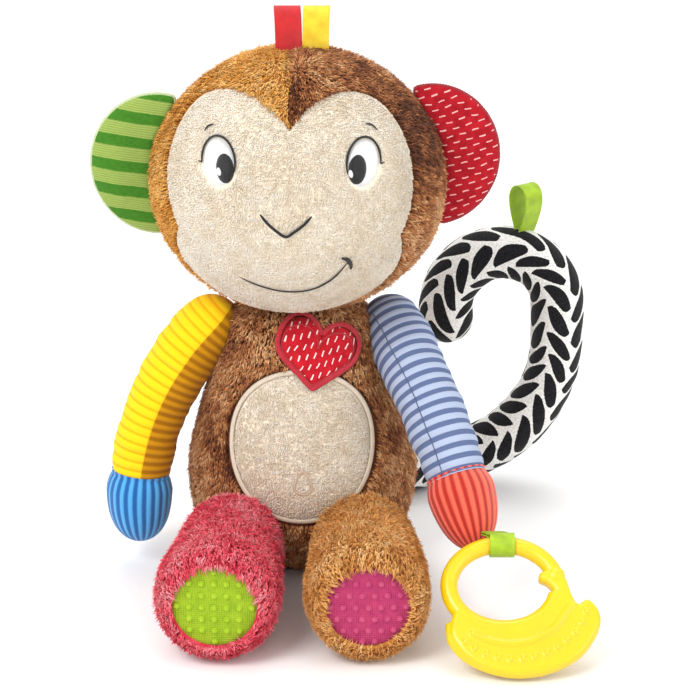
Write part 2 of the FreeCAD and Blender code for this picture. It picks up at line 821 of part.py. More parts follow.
def tail_form(name, radius):
    """The tail's tube: a root run to the back, a wide sweep up, a post and a hook over."""
    root = Vector(size("tail_root_x"), size("tail_root_y"), size("tail_root_z"))
    turn = Vector(size("tail_turn_x"), size("tail_plane_y"),
                  size("tail_radius") + size("tail_rise"))
    run = turn - root
    sweep_bend = size("tail_sweep_bend")
    post_x = turn.x + sweep_bend
    hook_bend = size("hook_bend")
    sweep_z = turn.z + sweep_bend
    hook_z = sweep_z + size("tail_post")
    hook_x = post_x - hook_bend
    tip = math.radians(size("hook_angle"))
    pieces = [
        add("Part::Sphere", name + "_root", at=tuple(root), Radius=radius),
        add("Part::Cylinder", name + "_run", Rotation(Vector(0, 0, 1), run), tuple(root),
            Radius=radius, Height=run.Length),
        add("Part::Sphere", name + "_turn", at=tuple(turn), Radius=radius),
        add("Part::Torus", name + "_sweep", TO_FRONT * Rotation(Vector(0, 0, 1), -90),
            (turn.x, turn.y, sweep_z), Radius1=sweep_bend, Radius2=radius, Angle3=90),
        add("Part::Cylinder", name + "_post", at=(post_x, turn.y, sweep_z),
            Radius=radius, Height="dims.tail_post"),
        add("Part::Torus", name + "_hook", TO_FRONT, (hook_x, turn.y, hook_z),
            Radius1=hook_bend, Radius2=radius, Angle3="dims.hook_angle"),
        add("Part::Sphere", name + "_tip",
            at=(hook_x + hook_bend * math.cos(tip), turn.y, hook_z + hook_bend * math.sin(tip)),
            Radius=radius),
    ]
    return fuse(pieces, name), Vector(hook_x, turn.y, hook_z)


def make_tail():
    outer, hook_centre = tail_form("tail_outer", "dims.tail_radius")
    inner, _ = tail_form("tail_inner", "dims.tail_radius - dims.skin")
    filling, _ = tail_form("tail_filling", "dims.tail_radius - dims.fill_inset")
    finish(cut(outer, inner), "tail_skin")
    finish(filling, "tail_stuffing")
    angle = math.radians(size("tail_tab_angle"))
    reach = (size("hook_bend") + size("tail_radius") - size("tail_tab_sunk")
             + size("tail_tab_rise") / 2)
    at = hook_centre + Vector(math.cos(angle), 0, math.sin(angle)) * reach
    tab = folded_tab("tail_tab", at.x, at.y, at.z, "tail_tab_half_gap", "tail_tab_rise",
                     "loop_width", Rotation(Vector(0, 0, 1), size("tail_tab_turn")))
    finish(tab, "tail_ribbon_loop")


# ---------------------------------------------------------------------------------------------
# Teether


def make_teether():
    """A ring whose ball end snaps into a claw on a chewing cluster, in one moulded piece."""
    path = add("Part::Ellipse", "ring_path", MajorRadius="dims.ring_half_width",
               MinorRadius="dims.ring_half_height", Angle1="dims.ring_start",
               Angle2="dims.ring_end")
    start = math.radians(size("ring_start"))
    tip = Vector(size("ring_half_width") * math.cos(start),
                 size("ring_half_height") * math.sin(start), 0)
    heading = Vector(-size("ring_half_width") * math.sin(start),
                     size("ring_half_height") * math.cos(start), 0)
    section = add("Part::Circle", "ring_section", Rotation(Vector(0, 0, 1), heading), tuple(tip),
                  Radius="dims.ring_radius")
    ring = doc.addObject("Part::Sweep", "ring")
    ring.Sections = [section]
    ring.Spine = (path, ["Edge1"])
    ring.Solid = True
    ring.Frenet = True
    ball = add("Part::Sphere", "ring_ball_end", at=tuple(tip), Radius="dims.ring_ball")
    claw = make_claw(tip)
    cluster = make_cluster()
    room = add("Part::Sphere", "claw_room", at=tuple(tip), Radius="dims.claw_cup")
    moulded = fuse([ring, ball, cut(fuse([claw, cluster]), room)], "teether_moulding")
    moulded.Placement = Placement(Vector(size("teether_x"), size("teether_y"), size("teether_z")),
                                  Rotation(Vector(1, 0, 0), size("teether_lean")))
    finish(moulded, "teether")
    return moulded.Placement


def make_claw(tip):
    """The cup that the ring's ball end rests in, open towards the ring."""
    low = tip - Vector(0, size("claw_length"), 0)
    return add("Part::Cylinder", "claw", Rotation(Vector(1, 0, 0), -90), tuple(low),
               Radius="dims.claw_radius", Height="dims.claw_length")


def make_cluster():
    body = doc.addObject("PartDesign::Body", "cluster")
    sketch = new_sketch(body, "cluster_outline", "XY_Plane")
    outline(sketch, [(f"dims.{name}_x", f"dims.{name}_y", f"dims.{name}_bend")
                     for name, x, y, bend in CLUSTER])
    doc.recompute()
    pad = body.newObject("PartDesign::Pad", "cluster_pad")
    pad.Profile = sketch
    pad.setExpression("Length", "dims.teether_thick")
    pad.Midplane = True
    return body


def make_hand_ribbon(teether_place, arm):
    """A ribbon sewn into the left hand that wraps once round the teether's ring."""
    top = teether_place.multVec(Vector(0, size("ring_half_height"), 0))
    side = top - Vector(size("loop_width") / 2, 0, 0)
    rounds = [add("Part::Cylinder", f"ribbon_loop_{part}", Rotation(Vector(0, 1, 0), 90), tuple(side),
                  Radius=f"dims.loop_radius{less}", Height="dims.loop_width")
              for part, less in (("outer", ""), ("bore", " - dims.ribbon"))]
    place, bend, sweep = arm
    angle = math.radians(sweep)
    wrist = place.multVec(Vector(bend * math.cos(angle), bend * math.sin(angle), 0))
    back = Vector(0, wrist.y - top.y, wrist.z - top.z).normalize()
    end = top + back * (size("loop_radius") - size("ribbon") / 2)
    along = (end - wrist).normalize()
    foot = wrist + along * (size("cuff_radius") - size("sewn_lap"))
    over = Vector(1, 0, 0).cross(along).normalize()
    section = add("Part::Plane", "ribbon_section", Length="dims.loop_width", Width="dims.ribbon")
    corner = foot - Vector(size("loop_width") / 2, 0, 0) - over * (size("ribbon") / 2)
    section.Placement = Placement(corner, Rotation(Vector(1, 0, 0), over, Vector(0, 0, 0), "XYZ"))
    strip = doc.addObject("Part::Extrusion", "ribbon_strip")
    strip.Base = section
    strip.DirMode = "Custom"
    strip.Dir = along
    strip.LengthFwd = (end - foot).Length
    strip.Solid = True
    finish(cut(fuse([rounds[0], strip]), rounds[1]), "hand_ribbon")


# ---------------------------------------------------------------------------------------------
# Whole toy


def check_and_write():
    """Stops on any failed object or bad shape, then writes one file per sub-part."""
    for item in doc.Objects:
        if "Invalid" in item.State or "Error" in item.State:
            raise RuntimeError(f"{item.Name} ({item.Label}) failed: {item.State}")
    for item in finished:
        if item.Shape.isNull() or not item.Shape.isValid() or item.Shape.Volume < 0.01:
            raise RuntimeError(f"{item.Label} has no valid solid")
    os.makedirs("parts", exist_ok=True)
    for item in finished:
        item.Shape.exportStep(f"parts/{item.Label}.step")
        box = item.Shape.BoundBox
        print(f"{item.Label:26s} {len(item.Shape.Solids):3d} solids {item.Shape.Volume:10.1f} mm3"
              f"  x {box.XMin:7.1f} {box.XMax:7.1f}  y {box.YMin:7.1f} {box.YMax:7.1f}"
              f"  z {box.ZMin:7.1f} {box.ZMax:7.1f}")


fill_sheet()
hollows = sockets()
make_belly(make_torso(hollows), hollows)
finish(add("Part::Sphere", "neck_ball", at=(0, 0, "dims.neck_pivot_z"), Radius="dims.neck_ball"),
       "neck_stuffing")
stitch_layer = make_head(hollows[-1])
make_eye(stitch_layer, "right")
make_eye(stitch_layer, "left")
make_face_stitches(stitch_layer)
make_ear("right")
make_ear("left")
make_head_tabs()
make_arm("right", -1)
left_arm = make_arm("left", 1)
make_leg("right")
make_leg("left")
make_tail()
make_hand_ribbon(make_teether(), left_arm)
doc.recompute()
check_and_write()
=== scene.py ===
"""Looks of the seated plush activity monkey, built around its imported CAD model.

Lengths in this file are in millimetres until a mesh is made; the toy faces -Y and +X is its left.
"""
from contextlib import contextmanager
import json
import math

import bmesh
import bpy
import numpy as np
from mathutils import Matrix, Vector
from mathutils.bvhtree import BVHTree


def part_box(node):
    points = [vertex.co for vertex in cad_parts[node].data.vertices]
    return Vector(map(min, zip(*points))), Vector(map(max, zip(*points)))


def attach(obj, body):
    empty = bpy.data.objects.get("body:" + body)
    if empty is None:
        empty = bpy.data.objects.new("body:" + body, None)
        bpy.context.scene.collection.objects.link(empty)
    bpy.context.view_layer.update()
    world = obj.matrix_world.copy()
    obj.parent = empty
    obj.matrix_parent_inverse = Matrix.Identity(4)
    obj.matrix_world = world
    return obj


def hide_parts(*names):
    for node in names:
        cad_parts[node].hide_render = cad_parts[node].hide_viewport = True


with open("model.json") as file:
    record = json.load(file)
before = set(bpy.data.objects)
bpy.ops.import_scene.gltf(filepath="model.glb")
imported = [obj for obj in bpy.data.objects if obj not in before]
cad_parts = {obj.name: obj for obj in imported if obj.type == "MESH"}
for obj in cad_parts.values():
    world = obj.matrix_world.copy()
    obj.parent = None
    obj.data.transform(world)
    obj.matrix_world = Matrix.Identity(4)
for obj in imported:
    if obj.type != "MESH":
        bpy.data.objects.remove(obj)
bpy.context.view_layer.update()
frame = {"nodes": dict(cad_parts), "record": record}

MM = 0.001
TAU = 2 * math.pi
UV = "cloth"
FLOOR = 0.35  # no pile reaches lower than this
STITCH = 0.9  # from one raised thread to the next
RIBBON = 0.7  # thickness
TAB_WIDTH = 13.0
LOOP_WIDTH = 12.0


# == Numbers


def low_high(*nodes):
    """Lowest and highest corner of some CAD nodes together, in mm."""
    boxes = [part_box(n) for n in nodes]
    low = np.min([np.array(b[0]) for b in boxes], axis=0) / MM
    high = np.max([np.array(b[1]) for b in boxes], axis=0) / MM
    return low, high


def joint_at(name):
    joint = next(j for j in frame["record"]["behaviour"]["joints"] if j["name"] == name)
    return np.array(joint["pos_m"]) / MM


def smooth(low, high, value):
    t = np.clip((value - low) / (high - low), 0, 1)
    return t * t * (3 - 2 * t)


def unit(v):
    return v / np.maximum(np.linalg.norm(v, axis=-1, keepdims=True), 1e-9)


def curve(knots, count):
    """A smooth line of count points through the knots."""
    k = np.array(knots, float)
    k = np.vstack([2 * k[0] - k[1], k, 2 * k[-1] - k[-2]])
    t = np.linspace(0, len(knots) - 1, count)
    i = np.minimum(t.astype(int), len(knots) - 2)
    f = (t - i)[:, None]
    a, b, c, d = k[i], k[i + 1], k[i + 2], k[i + 3]
    return 0.5 * (2 * b + (c - a) * f + (2 * a - 5 * b + 4 * c - d) * f ** 2
                  + (3 * b - a - 3 * c + d) * f ** 3)


def even(line, count):
    """The same line with its points evenly spaced, and how far along each one is."""
    run = np.concatenate([[0], np.cumsum(np.linalg.norm(np.diff(line, axis=0), axis=1))])
    at = np.linspace(0, run[-1], count)
    return np.stack([np.interp(at, run, line[:, k]) for k in range(3)], -1), at


def hashed(cell, seed):
    n = (cell[..., 0] * 73856093) ^ (cell[..., 1] * 19349663) ^ (cell[..., 2] * 83492791) ^ (seed * 668265263)
    n = ((n ^ (n >> 13)) * 1274126177) & 0x7FFFFFFF
    n = n ^ (n >> 15)
    return (n & 0xFFFF) / 65535.0


def grain(p, size, seed):
    """Smooth noise from 0 to 1 at points p, with features of about that size."""
    q = np.asarray(p, float) / size + 31.7 * seed
    low = np.floor(q).astype(np.int64)
    t = q - low
    t = t * t * (3 - 2 * t)
    total = np.zeros(q.shape[:-1])
    for corner in np.ndindex(2, 2, 2):
        c = np.array(corner)
        total += np.prod(np.where(c == 1, t, 1 - t), axis=-1) * hashed(low + c, seed)
    return total


# == Materials


class Signal:
    """A value that a material's nodes work out; arithmetic on it adds Math nodes."""

    def __init__(self, look, socket):
        self.look = look
        self.socket = socket

    def math(self, operation, other=0.0):
        return self.look.node("Math", {0: self, 1: other}, operation=operation)

    def __add__(self, other):
        return self.math("ADD", other)

    def __sub__(self, other):
        return self.math("SUBTRACT", other)

    def __rsub__(self, other):
        return self.look.node("Math", {0: other, 1: self}, operation="SUBTRACT")

    def __mul__(self, other):
        return self.math("MULTIPLY", other)

    def __truediv__(self, other):
        return self.math("DIVIDE", other)

    def near_half(self, reach):
        """1 where the value's fraction is within reach of a half."""
        return (self.math("FRACT") - 0.5).math("ABSOLUTE").math("LESS_THAN", reach)


class Look:
    """Builds one node material; a number, a colour or a signal may go into any socket."""

    def __init__(self, name, **plain):
        self.mat = bpy.data.materials.new(name)
        self.mat.use_nodes = True
        self.tree = self.mat.node_tree
        self.shader = self.tree.nodes["Principled BSDF"]
        for socket, value in plain.items():
            self.put(value, self.shader.inputs[socket.replace("_", " ")])

    def put(self, value, socket):
        if isinstance(value, Signal):
            self.tree.links.new(value.socket, socket)
        elif isinstance(value, (tuple, list)) and len(value) == 3 and socket.type == "RGBA":
            socket.default_value = (*value, 1)
        else:
            socket.default_value = value

    def node(self, kind, inputs=(), out=0, **settings):
        made = self.tree.nodes.new("ShaderNode" + kind)
        for key, value in settings.items():
            setattr(made, key, value)
        for key, value in dict(inputs).items():
            self.put(value, made.inputs[key])
        return Signal(self, made.outputs[out])

    def mix(self, share, a, b):
        return self.node("Mix", {0: share, 6: a, 7: b}, out=2, data_type="RGBA")

    def place(self):
        return self.node("TexCoord", out="Object")

    def split(self, source):
        parts = self.tree.nodes.new("ShaderNodeSeparateXYZ")
        self.put(source, parts.inputs[0])
        return [Signal(self, out) for out in parts.outputs]

    def cloth(self):
        """Distance along and round a piece, as laid out on its mesh."""
        return self.split(self.node("UVMap", uv_map=UV))[:2]

    def axes(self):
        return self.split(self.place())

    def noise(self, size, detail=3.0):
        return self.node("TexNoise", {"Vector": self.place(), "Scale": 1 / (size * MM), "Detail": detail})

    def ramp(self, share, stops):
        made = self.tree.nodes.new("ShaderNodeValToRGB")
        self.put(share, made.inputs[0])
        for point, (at, colour) in zip(made.color_ramp.elements, stops):
            point.position = at
            point.color = (*colour, 1)
        return Signal(self, made.outputs[0])

    def waves(self, value, pitch):
        """0 to 1 and back for each pitch."""
        return (value * (TAU / pitch)).math("SINE") * 0.5 + 0.5

    def bump(self, height, depth):
        self.put(self.node("Bump", {"Height": height, "Distance": depth * MM}), self.shader.inputs["Normal"])

    def colour(self, value):
        self.put(value, self.shader.inputs["Base Color"])


def rgb(code):
    """A colour from its usual six-digit name, in linear light."""
    parts = [int(code[i:i + 2], 16) / 255 for i in (0, 2, 4)]
    return tuple(c / 12.92 if c <= 0.04045 else ((c + 0.055) / 1.055) ** 2.4 for c in parts)


def scaled(colour, factor):
    return tuple(min(1, factor * c) for c in colour)


def shades(name, codes, sheen=0.05):
    """One matt material for each shade of a pile."""
    return [Look(f"{name}_{n}", Base_Color=rgb(code), Roughness=0.75, Sheen_Weight=sheen,
                 Sheen_Roughness=0.4, Specular_IOR_Level=0.2).mat for n, code in enumerate(codes)]


def backing(name, dark, light):
    """The mottled cloth that a pile stands on, coloured darker than most of its pile's strands as painted
    shade in the gaps between them.
    """
    look = Look(name, Roughness=0.95, Specular_IOR_Level=0.1)
    look.colour(look.ramp(look.noise(7), [(0.35, rgb(dark)), (0.7, rgb(light))]))
    look.bump(look.noise(1.2), 0.8)
    return look.mat


def terry(name, dark, light):
    look = Look(name, Roughness=0.9, Sheen_Weight=0.35, Sheen_Roughness=0.5, Specular_IOR_Level=0.15)
    fine = look.noise(1.1, 2)
    look.colour(look.ramp(look.mix(0.5, look.noise(9), fine), [(0.3, rgb(dark)), (0.68, rgb(light))]))
    look.bump(fine, 0.7)
    return look.mat


def weave(name, dark, light, pitch, sheen=0.1, gloss=0.8):
    """Plain woven cloth or thread-covered cloth."""
    look = Look(name, Roughness=gloss, Sheen_Weight=sheen, Specular_IOR_Level=0.25)
    x, y, z = look.axes()
    threads = look.waves(x + y, pitch * MM) * look.waves(z + y, pitch * MM)
    look.colour(look.ramp(look.mix(0.4, look.noise(5), threads), [(0.2, rgb(dark)), (0.7, rgb(light))]))
    look.bump(threads, 0.25)
    return look.mat


def thread(name, dark, light, gloss=0.45):
    """Satin stitch: fine threads side by side along the piece."""
    look = Look(name, Roughness=gloss, Sheen_Weight=0.2, Specular_IOR_Level=0.4)
    lines = look.waves(look.cloth()[0] + look.noise(2) * 0.4, 0.55)
    look.colour(look.ramp(look.mix(0.3, lines, look.noise(3)), [(0.15, rgb(dark)), (0.6, rgb(light))]))
    look.bump(lines, 0.3)
    return look.mat


def ribs(name, dark, light, pitch, way, sheen=0.08, fuzz=0.25, share=(0.25, 0.75)):
    """Ribbed cloth: way 0 has ribs across the piece and way 1 ribs along it. Its colour is painted shade,
    darker in the valleys between ribs, except on the blue sleeve, whose narrow share makes these its printed
    stripes.
    """
    look = Look(name, Roughness=0.85, Sheen_Weight=sheen, Specular_IOR_Level=0.15)
    lines = look.waves(look.cloth()[way], pitch)
    soft = look.mix(fuzz, lines, look.noise(0.9))
    look.colour(look.ramp(soft, [(share[0], rgb(dark)), (share[1], rgb(light))]))
    look.bump(look.mix(0.5, lines, look.noise(0.6)), 0.5)
    return look.mat


def satin(name, dark, light):
    look = Look(name, Roughness=0.35, Sheen_Weight=0.05, Specular_IOR_Level=0.45, Anisotropic=0.5)
    lines = look.waves(look.cloth()[0], 0.45)
    look.colour(look.ramp(look.mix(0.35, look.noise(6), lines), [(0.25, rgb(dark)), (0.7, rgb(light))]))
    look.bump(lines, 0.12)
    return look.mat


def dashes(name, ground, dash, pitch, size, tilt):
    """Short printed strokes, slanting up to the right, in offset rows seen from the front.

    pitch and size are (along a stroke, across it)."""
    look = Look(name, Roughness=0.85, Sheen_Weight=0.08, Specular_IOR_Level=0.15)
    x, _, z = look.axes()
    c, s = math.cos(math.radians(tilt)), math.sin(math.radians(tilt))
    bend = (look.noise(9, 1) - 0.5) * (3 * MM)
    row = (z * c - x * s + bend) / (pitch[1] * MM)
    column = (x * c + z * s) / (pitch[0] * MM) + row.math("FLOOR") * 0.38
    inside = column.near_half(0.5 * size[0] / pitch[0]) * row.near_half(0.5 * size[1] / pitch[1])
    cloth = look.ramp(look.noise(4), [(0.3, rgb(ground[0])), (0.7, rgb(ground[1]))])
    look.colour(look.mix(inside, cloth, rgb(dash)))
    knit = look.waves(x, 0.8 * MM) * look.waves(z, 0.8 * MM)
    look.bump(look.mix(0.5, knit, look.noise(2)), 0.3)
    return look.mat


def striped(name, dark, light, pitch, share, tilt):
    """Printed stripes across the front of a flat piece, with fine ribs between them."""
    look = Look(name, Roughness=0.88, Sheen_Weight=0.12, Specular_IOR_Level=0.15)
    x, _, z = look.axes()
    level = z * math.cos(math.radians(tilt)) + x * math.sin(math.radians(tilt))
    bent = level + look.noise(14, 1) * MM
    lines = look.waves(bent, pitch * MM)
    fine = look.waves(bent, 1.15 * MM)
    ribbed = look.mix(0.4, fine, look.noise(1.5))
    pale = look.ramp(ribbed, [(0.2, scaled(rgb(light), 0.72)), (0.7, rgb(light))])
    deep = look.ramp(look.noise(1.5), [(0.3, scaled(rgb(dark), 0.75)), (0.7, rgb(dark))])
    edge = lines + (look.noise(0.9) - 0.5) * 0.12
    look.colour(look.mix(edge.math("GREATER_THAN", share), deep, pale))
    look.bump(look.mix(0.5, lines, fine), 0.4)
    return look.mat


def leaves(name):
    """White velour printed with black pointed leaves: columns along the piece whose leaves lean in turn."""
    wide, pitch, half_thick, rise = 15.5, 13.2, 4.0, 1.0  # mm; rise is the lean's slope
    look = Look(name, Roughness=0.92, Sheen_Weight=0.12, Specular_IOR_Level=0.1)
    along, around = look.cloth()
    column = (around + (look.noise(45, 0) - 0.5) * 14.0) / wide
    number = column.math("FLOOR")
    lean = number.math("FLOORED_MODULO", 2.0) * 2.0 - 1.0
    t = (column.math("FRACT") - 0.5) * 2.0  # -1 to 1 across a column
    arch = (1.0 - t * t) * 1.5
    slid = along + t * lean * (rise * wide / 2) + (arch + number * 5.3) + look.noise(32, 0) * 16.0
    q = ((slid / pitch).math("FRACT") - 0.5) * pitch
    across = q.math("ABSOLUTE") * 0.707
    taper = 1.0 - t.math("ABSOLUTE").math("POWER", 2.6) * 1.05
    ragged = (look.noise(0.8) - 0.5) * 0.7
    inside = (across + ragged).math("LESS_THAN", taper * half_thick)
    fuzz = look.noise(0.8)
    white = look.ramp(fuzz, [(0.3, rgb("CFCFCB")), (0.6, rgb("F4F4F0"))])
    black = look.ramp(fuzz, [(0.3, rgb("0A0A0B")), (0.8, rgb("2C2C30"))])
    look.colour(look.mix(inside, white, black))
    look.bump(look.noise(0.7), 0.35)
    return look.mat


def plastic(name, code):
    look = Look(name, Roughness=0.32, Specular_IOR_Level=0.5, Subsurface_Weight=0.15, Subsurface_Scale=0.004,
                Coat_Weight=0.15)
    look.colour(look.ramp(look.noise(25, 2), [(0.3, rgb(code)), (0.7, scaled(rgb(code), 1.06))]))
    look.bump(look.noise(2.5, 2), 0.03)
    look.put(look.noise(8, 4) * 0.14 + 0.26, look.shader.inputs["Roughness"])
    return look.mat


HAND_RIBS = 22
RIGHT_RIB = 4.7
LEFT_RIB = 5.5

BROWN = shades("brown_pile", ["64371F", "8A502E", "AD6C40", "C98852", "E3AE7C"])
TAN = shades("tan_pile", ["BE7828", "D08B32", "E09C42", "EAAB52", "F0BC70"])
# A lighter copy of the tan pile for the left leg: painted light, which brightens the leg's tan beyond the
# head's.
LIT_LEG_TAN = shades("lit_leg_tan_pile", ["CC8644", "DC9850", "EAA85E", "F2B870", "F6C88C"])
PINK = shades("pink_pile", ["DE3C52", "F05064", "F86878", "FC808C", "FEA0A8"])
BEIGE = shades("beige_pile", ["E2D1B7", "E9DAC2", "EEE1CC", "F2E7D5", "F6EEE0"], 0.06)
brown_base = backing("brown_backing", "553220", "7E4E34")
tan_base = backing("tan_backing", "B87C38", "D6964C")
pink_base = backing("pink_backing", "CE2E48", "E84C62")
beige_terry = terry("beige_terry", "E0D0B7", "F3E9D8")
beige_thread = thread("beige_thread", "DCC8AC", "F0E4D0")
pink_thread = thread("pink_thread", "C9A588", "E8D0B8")
black_thread = thread("black_thread", "020203", "0C0C0E", gloss=0.7)
white_thread = thread("white_thread", "DADADA", "FAFAFA")
red_thread = thread("red_thread", "A80F1E", "D02234")
pale_thread = thread("pale_thread", "B7C98E", "DCE7B8")
dark_red_thread = thread("dark_red_thread", "7C0C16", "B5202C")
red_satin = satin("red_satin", "A4060F", "DC1A22")
yellow_satin = satin("yellow_satin", "D9A800", "FFE132")
lime_satin = satin("lime_satin", "7FA004", "B4D81C")
green_cloth = striped("green_cloth", "427F20", "96AE55", 12.6, 0.42, 8)
heart_cloth = dashes("heart_cloth", ("A80F1E", "C41B29"), "F3D9D4", (6.0, 3.3), (2.9, 0.62), 64)
ear_cloth = dashes("ear_cloth", ("960C19", "B41825"), "E8AFA9", (6.6, 3.7), (3.2, 0.62), 16)
yellow_rib = ribs("yellow_rib", "EDA400", "FACB16", RIGHT_RIB, 0, share=(0.1, 0.36))
mustard_rib = ribs("mustard_rib", "9A6400", "C2880A", RIGHT_RIB, 0)
blue_rib = ribs("blue_corduroy", "1B5C9E", "4FA3DC", 1 / HAND_RIBS, 1, sheen=0.3)
light_stripe = ribs("blue_stripe", "5A688C", "A6B2CA", LEFT_RIB, 0, sheen=0.06, fuzz=0.12, share=(0.4, 0.5))
coral_rib = ribs("coral_corduroy", "A8291E", "F4654F", 1 / HAND_RIBS, 1, sheen=0.3)
lime_cloth = weave("lime_cloth", "7E9E10", "AAC628", 1.1)
magenta_cloth = weave("magenta_cloth", "9A2456", "C9446F", 1.1)
lime_rubber = weave("lime_dots_print", "9CC01E", "BEDC3A", 0.6, 0.0, 0.25)
seam_thread = thread("seam_thread", "4C5A86", "6A78A6")
magenta_rubber = weave("magenta_dots_print", "B8386C", "DE6288", 0.6, 0.0, 0.25)
leaf_velour = leaves("leaf_velour")
teether_plastic = plastic("teether_plastic", "E0BE04")
film_look = plastic("film_plastic", "D0D8DC")


# == Meshes


def made(name, body, mesh, materials, slot, *nodes):
    """An object for a mesh, riding on its body and standing for CAD nodes."""
    piece = bpy.data.objects.new(name, mesh)
    bpy.context.scene.collection.objects.link(piece)
    for material in materials:
        mesh.materials.append(material)
    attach(piece, body)
    if nodes:
        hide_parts(*nodes)
    return piece


@contextmanager
def worked(mesh):
    """A mesh opened for editing."""
    work = bmesh.new()
    work.from_mesh(mesh)
    yield work
    work.to_mesh(mesh)
    work.free()


def read(items, name, width=3, kind=float):
    """One property of a mesh's vertices, faces or corners, as rows of numbers."""
    values = np.zeros(len(items) * width, kind)
    items.foreach_get(name, values)
    return values.reshape(-1, width)


def smoothed(mesh):
    mesh.polygons.foreach_set("use_smooth", np.ones(len(mesh.polygons), bool))
    return mesh


def grid_mesh(name, rings, along=None, ends=(True, True), columns=None):
    """A mesh over closed rows of points in mm, or over some of their columns, with its ends filled."""
    rings = np.asarray(rings, float)
    rows, count = rings.shape[:2]
    along = np.arange(rows, dtype=float) if along is None else np.asarray(along, float)
    first, last = columns or (0, count)
    i, j = np.meshgrid(np.arange(rows - 1), np.arange(first, last), indexing="ij")
    k = (j + 1) % count
    j = j % count
    faces = np.stack([i * count + j, i * count + k, (i + 1) * count + k, (i + 1) * count + j], -1)
    raw = np.stack([j, j + 1, j + 1, j], -1) / count
    uv = np.stack([np.stack([along[i], along[i], along[i + 1], along[i + 1]], -1), raw], -1)
    faces = faces.reshape(-1, 4).tolist()
    uv = uv.reshape(-1, 2).tolist()
    points = rings.reshape(-1, 3)
    extra = []
    for end, row in zip(ends, (0, rows - 1)):
        if end and columns is None:
            centre = len(points) + len(extra)
            extra.append(rings[row].mean(axis=0))
            for c in range(count):
                faces.append([row * count + c, row * count + (c + 1) % count, centre])
                uv += [[along[row], step / count] for step in (c, c + 1, c + 0.5)]
    if extra:
        points = np.vstack([points, extra])
    mesh = bpy.data.meshes.new(name)
    mesh.from_pydata((points * MM).tolist(), [], faces)
    layer = mesh.uv_layers.new(name=UV)
    layer.data.foreach_set("uv", np.array(uv, np.float32).ravel())
    with worked(mesh) as work:
        bmesh.ops.recalc_face_normals(work, faces=work.faces)
    if columns is not None:
        with worked(mesh) as work:
            loose = [v for v in work.verts if not v.link_faces]
            bmesh.ops.delete(work, geom=loose, context="VERTS")
    return smoothed(mesh)


def thicken(piece, thick=1.2):
    made_solid = piece.modifiers.new("cloth_thickness", "SOLIDIFY")
    made_solid.thickness = thick * MM
    made_solid.offset = -1
    return piece


def tree_of(*pieces):
    """What the points of some pieces' meshes hit, in mm."""
    points, faces = [], []
    for piece in pieces:
        base = len(points)
        points += [tuple(c / MM for c in v.co) for v in piece.data.vertices]
        faces += [[base + n for n in f.vertices] for f in piece.data.polygons]
    return BVHTree.FromPolygons(points, faces)


def press(tree, flat, axis=(0, 1, 0), start=-250.0):
    """Points on a surface straight behind flat points (x, z), and the surface's normals there."""
    axis = Vector(axis)
    spots, normals = [], []
    for x, z in flat:
        hit, normal, _, _ = tree.ray_cast(Vector((x, start, z)), axis)
        if hit is None:
            hit, normal, _, _ = tree.find_nearest(Vector((x, -40, z)))
        if normal.dot(axis) > 0:
            normal = -normal
        spots.append(hit)
        normals.append(normal)
    return np.array(spots), np.array(normals)


def frames(line, up=(0, 0, 1)):
    """Two directions across a line at each of its points, turning as little as they can."""
    heading = unit(np.gradient(line, axis=0))
    side = np.cross(heading[0], np.array(up, float))
    if np.linalg.norm(side) < 0.1:
        side = np.cross(heading[0], np.array([0.0, 1.0, 0.0]))
    sides = [side / np.linalg.norm(side)]
    for h in heading[1:]:
        s = sides[-1] - h * np.dot(sides[-1], h)
        sides.append(s / np.linalg.norm(s))
    sides = np.array(sides)
    return heading, sides, np.cross(heading, sides)


def rings_round(line, radius, turn, a, b):
    """Rings round a line's points, in the plane of two directions across it."""
    return line[:, None] + radius * (np.cos(turn)[None, :, None] * a + np.sin(turn)[None, :, None] * b)


def tube(line, radius, count, up=(0, 0, 1), shape=None):
    """Rings of count points round a line; shape(row, angle) adds to the radius."""
    line = np.asarray(line, float)
    _, a, b = frames(line, up)
    turn = np.arange(count) / count * TAU
    radius = np.broadcast_to(np.asarray(radius, float), (len(line),))
    r = radius[:, None] + (shape(np.arange(len(line))[:, None], turn[None, :]) if shape else 0)
    return rings_round(line, r[..., None], turn, a[:, None, :], b[:, None, :])


def on_tube(run, angle, radius):
    """Places for noise on a tube's cloth: distance along it, and its round section."""
    shape = np.broadcast_shapes(np.shape(run), np.shape(angle))
    places = (run, radius * np.cos(angle), radius * np.sin(angle))
    return np.stack([np.broadcast_to(v, shape) for v in places], -1)


def scatter(mesh, density, rng):
    """Random points on a mesh, density of them to each square mm, and the surface's normals there."""
    mesh.calc_loop_triangles()
    points = read(mesh.vertices, "co") / MM
    normals = read(mesh.vertices, "normal")
    triangles = read(mesh.loop_triangles, "vertices", 3, np.int32)
    a, b, c = (points[triangles[:, k]] for k in range(3))
    area = np.linalg.norm(np.cross(b - a, c - a), axis=1) / 2
    total = int(area.sum() * density)
    pick = triangles[rng.choice(len(triangles), total, p=area / area.sum())]
    r1, r2 = np.sqrt(rng.random(total)), rng.random(total)
    weights = np.stack([1 - r1, r1 * (1 - r2), r1 * r2], -1)[..., None]
    return (points[pick] * weights).sum(axis=1), unit((normals[pick] * weights).sum(axis=1))


# A strand has a triangle of vertices at its foot, one at its middle, and a tip, joined by seven faces.
STRAND_VERTICES = 7
STRAND_CORNERS = np.array([2, 1, 0, 0, 1, 4, 3, 1, 2, 5, 4, 2, 0, 3, 5, 3, 4, 6, 4, 5, 6, 5, 3, 6])
STRAND_FACES = np.array([0, 3, 7, 11, 15, 18, 21])
STRAND_SECTION = (0.5, 0.5 + TAU / 3, 0.5 + 2 * TAU / 3)
WAVER = 0.9  # how much the comb wanders
SPREAD = 0.26  # how much single strands stray from it
# Kinds of pile: strands to a square mm, their length and their width
HEAD_FUR = (1.9, 3.6, 0.72)
BODY_FUR = (1.8, 4.0, 0.75)
LEG_FUR = (1.8, 4.4, 0.75)
SHORT_FUR = (2.8, 1.3, 0.65)


